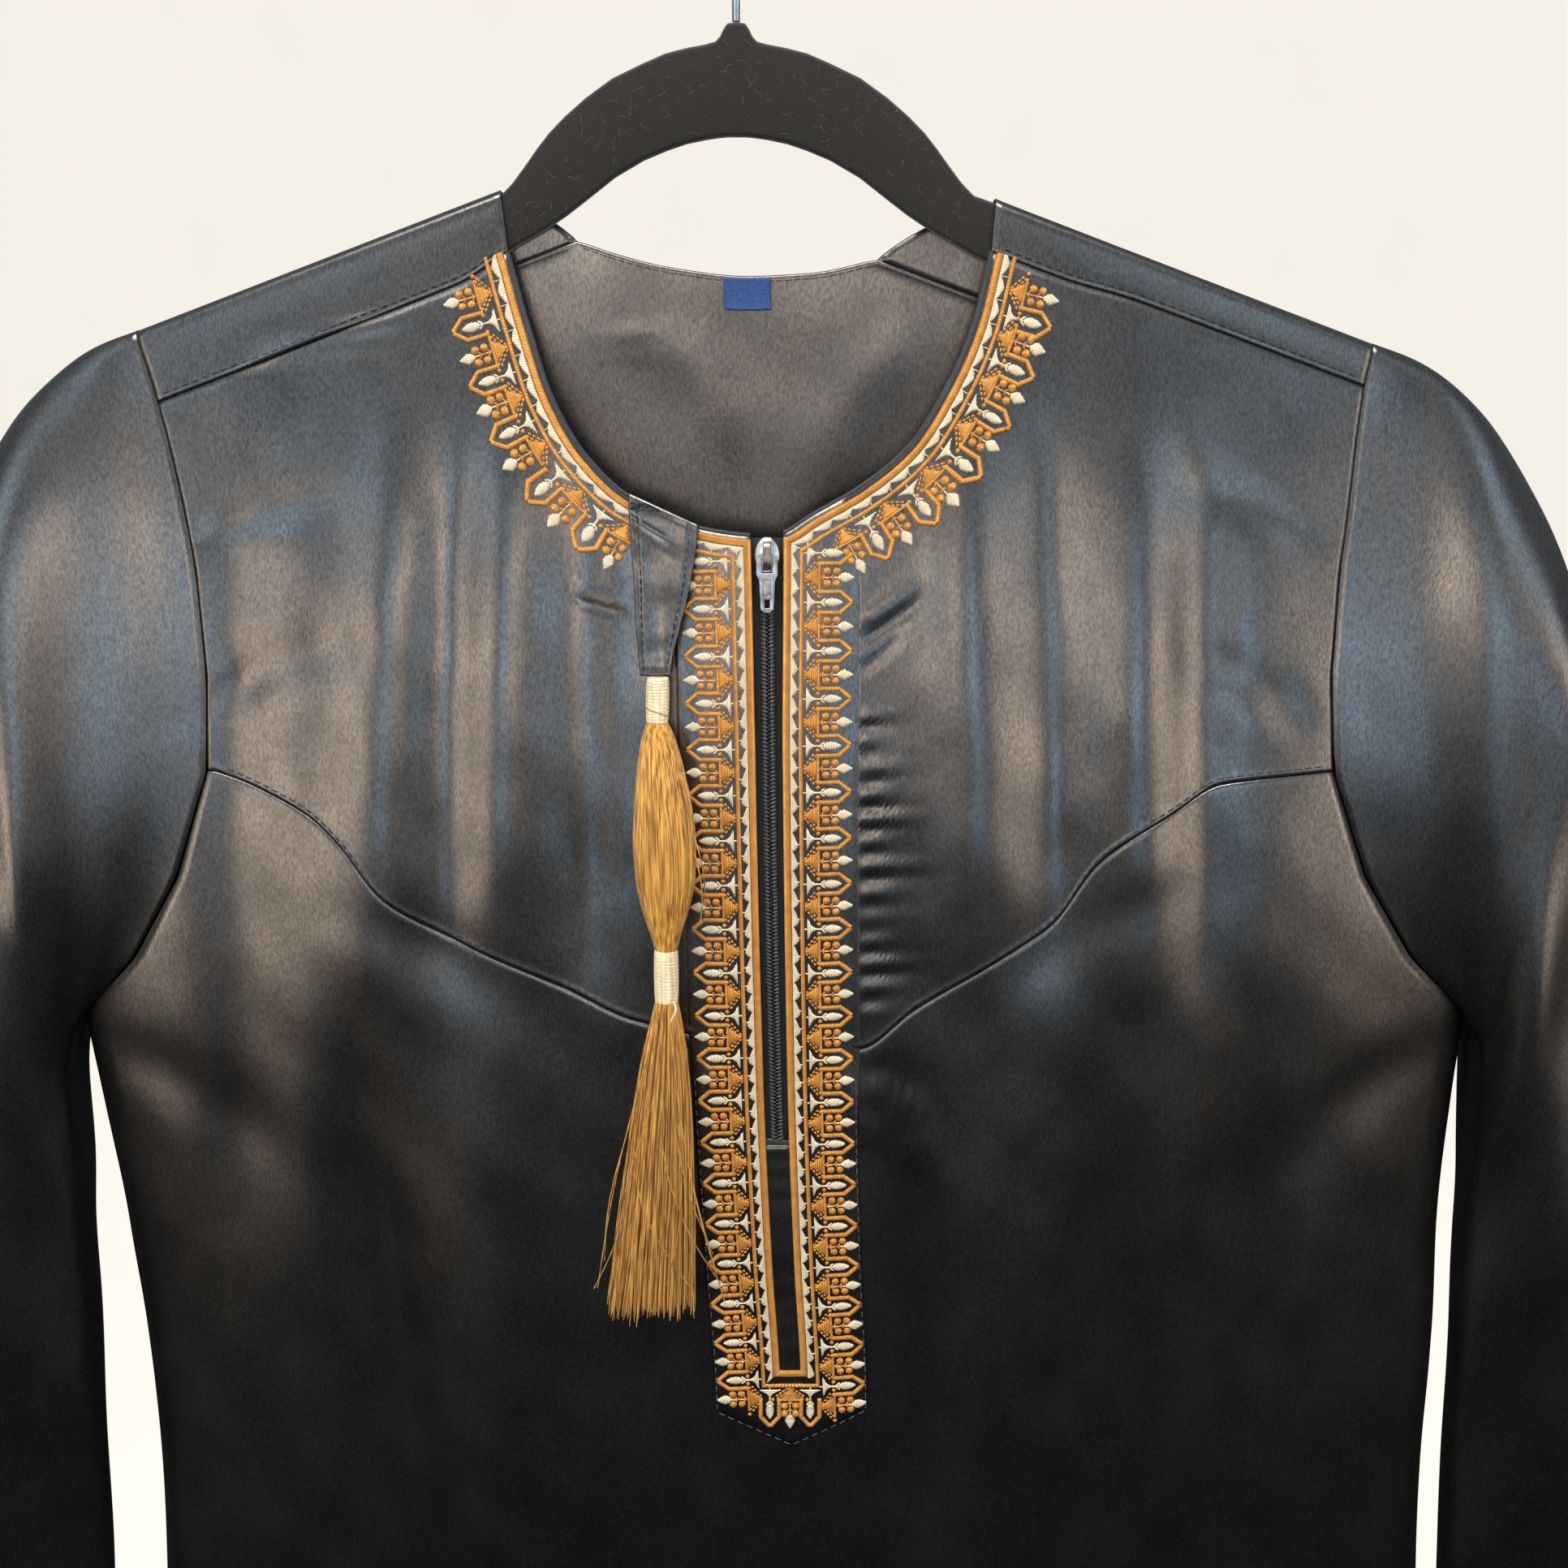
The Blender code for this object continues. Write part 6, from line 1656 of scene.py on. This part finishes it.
def label(blue):
    """The bare label inside the back neck, which curls a little at its foot."""
    across = LABEL_X + np.linspace(-1, 1, 40)[None] * LABEL_HALF
    down = np.linspace(0, 1, 26)[:, None]
    z = back_neckline(across) - 0.0006 - LABEL_HEIGHT * down
    middle = -(CLOTH / 2 + 0.0003 + SHEET / 2)
    curl = 0.0010 * down**3 * (1 - 0.5 * np.cos(math.pi * (across - LABEL_X) / LABEL_HALF) ** 2)
    points, normals = lay(BACK, np.broadcast_to(across, z.shape), z, middle - curl)
    piece = shell("label_cloth", points, normals, blue, 0.0005, 0.0010)
    ride(piece, "label", "neck_label")


def tassel_core(name, rows, scale, finish, slot, *nodes):
    """A solid core of ovals: (z, middle x, half width, half depth)."""
    rows = np.array(rows)
    share = np.linspace(rows[0, 0], rows[-1, 0], 60)
    middle, half_x, half_y = (curve(-share)[:, None] for curve in curves(rows[:, 1:], -rows[:, 0]))
    turns = np.linspace(0, 2 * math.pi, 24, endpoint=False)[None]
    ends = np.ones((60, 1)) * scale
    ends[[0, -1]] = 0.05
    z = np.repeat(share[:, None], 24, axis=1)
    x = middle + half_x * ends * np.cos(turns)
    points = np.stack([x, tassel_y(-z) + half_y * ends * np.sin(turns), z], -1)
    pile = Pile()
    pile.add(points.reshape(-1, 3), grid_quads(60, 24, ring=True))
    return ride(pile.build(name, finish), slot, *nodes)


def binding(name, span, middles, half, thread, slot, node):
    """Thread wound tightly round the tassel, swelling a little in the middle."""
    fullness = smooth_curve([(0, 0.95), (0.12, 1.0), (0.5, 1.03), (0.88, 1.0), (1, 0.95)])
    windings = int((span[0] - span[1]) / WINDING_PITCH)
    share = np.linspace(0, 1, windings * 20)
    turn = 2 * math.pi * windings * share
    radius = half * fullness(share) - WINDING_RADIUS + 0.00004 * np.sin(17 * share * windings)
    z = mix(span[0] - WINDING_RADIUS, span[1] + WINDING_RADIUS, share)
    z = z + 0.00007 * np.sin(turn * 0.37)
    path = np.stack([mix(*middles, share) + radius * np.cos(turn),
                     tassel_y(-z) + radius * 0.9 * np.sin(turn), z], -1)
    pile = Pile()
    pile.tubes([path], WINDING_RADIUS, 6, axis=(0, 0, 1))
    ride(pile.build(name, thread), slot, node)


def bulb(thread):
    """Threads gathered between the two bindings, a little slack."""
    rows = np.array(TASSEL_BULB)
    middle, half_x, half_y = curves(rows[:, 1:], -rows[:, 0])
    share = np.linspace(0, 1, 26)
    z = mix(-0.3326, -0.4206, share)
    layers = []
    for count, scale in ((120, 0.98), (110, 0.93)):
        shifts, _, slacks, wanders = random.random((4, count, 1))
        turn = (np.arange(count)[:, None] + mix(-0.4, 0.4, shifts)) / count * 2 * math.pi
        reach = scale + mix(-0.050, 0.035, slacks) * np.sin(math.pi * share)
        angle = turn + mix(-1, 1, wanders) * 0.10 * np.sin(2 * math.pi * share + 1) + 0.25 * share
        x = middle(-z) + (half_x(-z) * reach - 0.0003) * np.cos(angle)
        y = tassel_y(-z) + (half_y(-z) * reach - 0.0003) * np.sin(angle)
        layers.append(np.stack([x, y, np.broadcast_to(z, x.shape)], -1))
    pile = Pile()
    pile.tubes(np.concatenate(layers), 0.00034, 4)
    ride(pile.build("bulb_threads", thread), "gold_thread", "tassel_bulb")


def skirt(thread):
    """Loose ends below the lower binding, hanging nearly straight and cut unevenly."""
    count = 420
    radius = np.sqrt(random.uniform(0.02, 1.0, count))
    turn = random.uniform(0, 2 * math.pi, count)
    u, v = (radius * np.cos(turn))[:, None], (radius * np.sin(turn))[:, None]
    end = -0.5695 + random.normal(0, 0.0022, count)[:, None] - 0.0015 * radius[:, None]
    share = np.linspace(0, 1, 20)[None]
    z = mix(LOWER_WRAP[0][1] + 0.0006, end, share)
    middle, width, depth = curves(SKIRT_ROWS[:, 1:], SKIRT_ROWS[:, 0])
    sway = random.normal(0, 1, count)[:, None] * 0.0009
    sway = sway * np.sin(2.2 * math.pi * share + turn[:, None]) * share
    x = middle(-z) + (u * width(-z)) * SKIRT_HEAD_HALF + sway
    y = tassel_y(-z) + v * depth(-z) * SKIRT_HEAD_HALF * 0.9 + sway[:, ::-1] * 0.4
    paths = np.stack([x, y, z], -1)
    pile = Pile()
    taper = np.full(20, 0.00028)
    taper[-1] = 0.00012
    pile.tubes(paths, taper, 4)
    t = np.linspace(0, 1, 24)
    for start_x, start_z, end_x, end_z, bow in STRAYS:
        x = mix(start_x, end_x, t**1.2) + bow * np.sin(math.pi * t)
        z = mix(start_z, end_z, t)
        pile.tubes([np.stack([x, tassel_y(-z) - 0.0055 - 0.0030 * np.sin(math.pi * t), z], -1)], 0.00020, 4)
    ride(pile.build("skirt_threads", thread), "gold_thread", "tassel_skirt")


def tassel(gold, cream):
    """Cores, bindings and threads from the tab down, with the loose ends of two threads."""
    tassel_core("bulb_core", TASSEL_BULB, 0.88, gold, "gold_thread")
    for name, (span, middles, half), node in (
        ("upper_binding", UPPER_WRAP, "tassel_wrap_upper"),
        ("lower_binding", LOWER_WRAP, "tassel_wrap_lower"),
    ):
        rows = [(z, x, half * 0.93, half * 0.84) for z, x in zip(span, middles)]
        tassel_core(name + "_core", rows, 1.0, cream, "cream_thread")
        binding(name + "_thread", span, middles, half, cream, "cream_thread", node)
    bulb(gold)
    skirt(gold)
    ends = Pile()
    t = np.linspace(0, 1, 30)
    x = -0.0252 + 0.0010 * np.sin(5 * t)
    z = mix(-0.4395, -0.4490, t)
    ends.tubes([np.stack([x, tassel_y(-z) - 0.0050 - 0.0012 * np.sin(math.pi * t), z], -1)], 0.00042, 6)
    ride(ends.build("cream_thread_end", cream), "cream_thread")
    ends = Pile()
    turn = mix(-0.35, -2.9, t)
    z = mix(-0.3300, -0.3262, t)
    path = np.stack([-0.0299 + 0.0045 * np.cos(turn), tassel_y(-z) + 0.0041 * np.sin(turn), z], -1)
    ends.tubes([path], 0.00020, 6)
    ride(ends.build("gold_thread_round_binding", gold), "gold_thread")


def light(name, place, target, size, power, colour):
    data = bpy.data.lights.new(name, "AREA")
    data.shape = "RECTANGLE"
    data.size, data.size_y = size
    data.energy = power
    data.color = colour
    made = bpy.data.objects.new(name, data)
    made.location = place
    made.rotation_mode = "QUATERNION"
    made.rotation_quaternion = (Vector(target) - Vector(place)).to_track_quat("-Z", "Y")
    made.visible_camera = False
    bpy.context.scene.collection.objects.link(made)


def lights():
    """Soft panels: warm in the middle and low at the sides, cool between and above. The sky is dim below."""
    for panel in PANELS:
        light(*panel)
    world = bpy.data.worlds.new("studio")
    bpy.context.scene.world = world
    world.use_nodes = True
    nodes, links = world.node_tree.nodes, world.node_tree.links
    way = nodes.new("ShaderNodeTexCoord")
    split = nodes.new("ShaderNodeSeparateXYZ")
    rise = nodes.new("ShaderNodeMapRange")
    for name, number in (("From Min", -0.10), ("From Max", 0.35), ("To Min", 0.012), ("To Max", 0.36)):
        rise.inputs[name].default_value = number
    links.new(way.outputs["Generated"], split.inputs[0])
    links.new(split.outputs["Z"], rise.inputs["Value"])
    links.new(rise.outputs["Result"], nodes["Background"].inputs["Strength"])
    nodes["Background"].inputs["Color"].default_value = (0.82, 0.90, 1.0, 1)
    bpy.context.scene.view_settings.view_transform = "Standard"


def camera():
    data = bpy.data.cameras.new("camera")
    data.lens = CAMERA_LENS
    data.sensor_width = 36
    data.clip_start = 0.05
    made = bpy.data.objects.new("camera", data)
    made.location = CAMERA_PLACE
    made.rotation_euler = (math.radians(90 - CAMERA_DOWN), 0, 0)
    bpy.context.scene.collection.objects.link(made)
    bpy.context.scene.camera = made


def stage():
    """A pale floor and a round wall far off, which neither light the garment nor mirror in it."""
    pale = stage_finish("pale_cream", STAGE_COLOUR)
    turn = np.linspace(0, 2 * math.pi, STAGE_SIDES, endpoint=False)
    x, y = STAGE_RADIUS * np.cos(turn), STAGE_RADIUS * np.sin(turn)
    low = np.stack([x, y, np.full(STAGE_SIDES, FLOOR_Z)], -1)
    both_rims = np.concatenate([low, low + np.array([0, 0, WALL_HEIGHT])])
    wall = grid_quads(2, STAGE_SIDES, ring=True)
    for name, points, faces in (("floor", low, [range(STAGE_SIDES)]), ("wall", both_rims, wall)):
        piece = new_piece(name, points, faces, pale)
        piece.visible_glossy = False
        piece.visible_diffuse = False


def main():
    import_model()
    satin = satin_finish()
    # Each thread's first colour is painted shade for the gaps between its strands, and the second is its
    # painted lit ridges.
    finishes = {
        GOLD: thread_finish("gold_stitching", (0.36, 0.115, 0.010), (0.95, 0.46, 0.080), 0.38, 0.55, 0.30),
        CREAM: thread_finish("cream_stitching", (0.50, 0.38, 0.22), (0.93, 0.84, 0.64), 0.46, 0.60),
    }
    left_edge = upper_front(-1, satin)
    right_edge = upper_front(1, satin)
    lower_left, lower_right = lower_front(satin)
    back_left, back_right = back_panel(satin)
    edges = ((-1, left_edge, lower_left, back_left), (1, right_edge, lower_right, back_right))
    for side, upper, lower, back in edges:
        yoke = yoke_strip(side, satin)
        top = len(yoke) // 2
        front_line = np.concatenate([yoke[top::-1], upper, lower])
        back_line = np.concatenate([yoke[top:], back])
        sleeve(side, front_line, back_line, satin)
    placket_cloth(satin)
    embroidery(finishes)
    dark_thread = plain_thread_finish("dark_sewing_thread", (0.006, 0.007, 0.009), (0.020, 0.024, 0.030), 0.6)
    pale_thread = plain_thread_finish("grey_sewing_thread", (0.035, 0.045, 0.060), (0.090, 0.110, 0.140), 0.5)
    gold = plain_thread_finish("gold_tassel_thread", (0.30, 0.095, 0.004), (1.0, 0.58, 0.12), 0.34, 0.22)
    cream = plain_thread_finish("cream_tassel_thread", (0.66, 0.50, 0.28), (0.94, 0.84, 0.62), 0.46)
    # The neck edge's near-black rolls paint it in shade.
    neck_edge_painted_shade(dark_thread)
    topstitching(dark_thread, pale_thread)
    zip_strips(tape_finish(), coil_finish(), dark_thread)
    zip_slider(metal_finish("nickel_slider", (0.30, 0.31, 0.33), (0.66, 0.68, 0.71), 0.30),
               metal_finish("gun_metal_strap", (0.16, 0.12, 0.10), (0.42, 0.34, 0.28), 0.42))
    zip_pull(metal_finish("nickel_pull", (0.16, 0.17, 0.19), (0.40, 0.42, 0.46), 0.36))
    tab(satin, dark_thread)
    label(label_finish())
    tassel(gold, cream)
    hanger_body(flock_finish(), plain_thread_finish("grey_lint", (0.10, 0.10, 0.11), (0.30, 0.30, 0.32), 0.9))
    hanger_hook(metal_finish("bright_steel", (0.45, 0.46, 0.48), (0.75, 0.76, 0.78), 0.22))
    lights()
    camera()
    stage()


main()
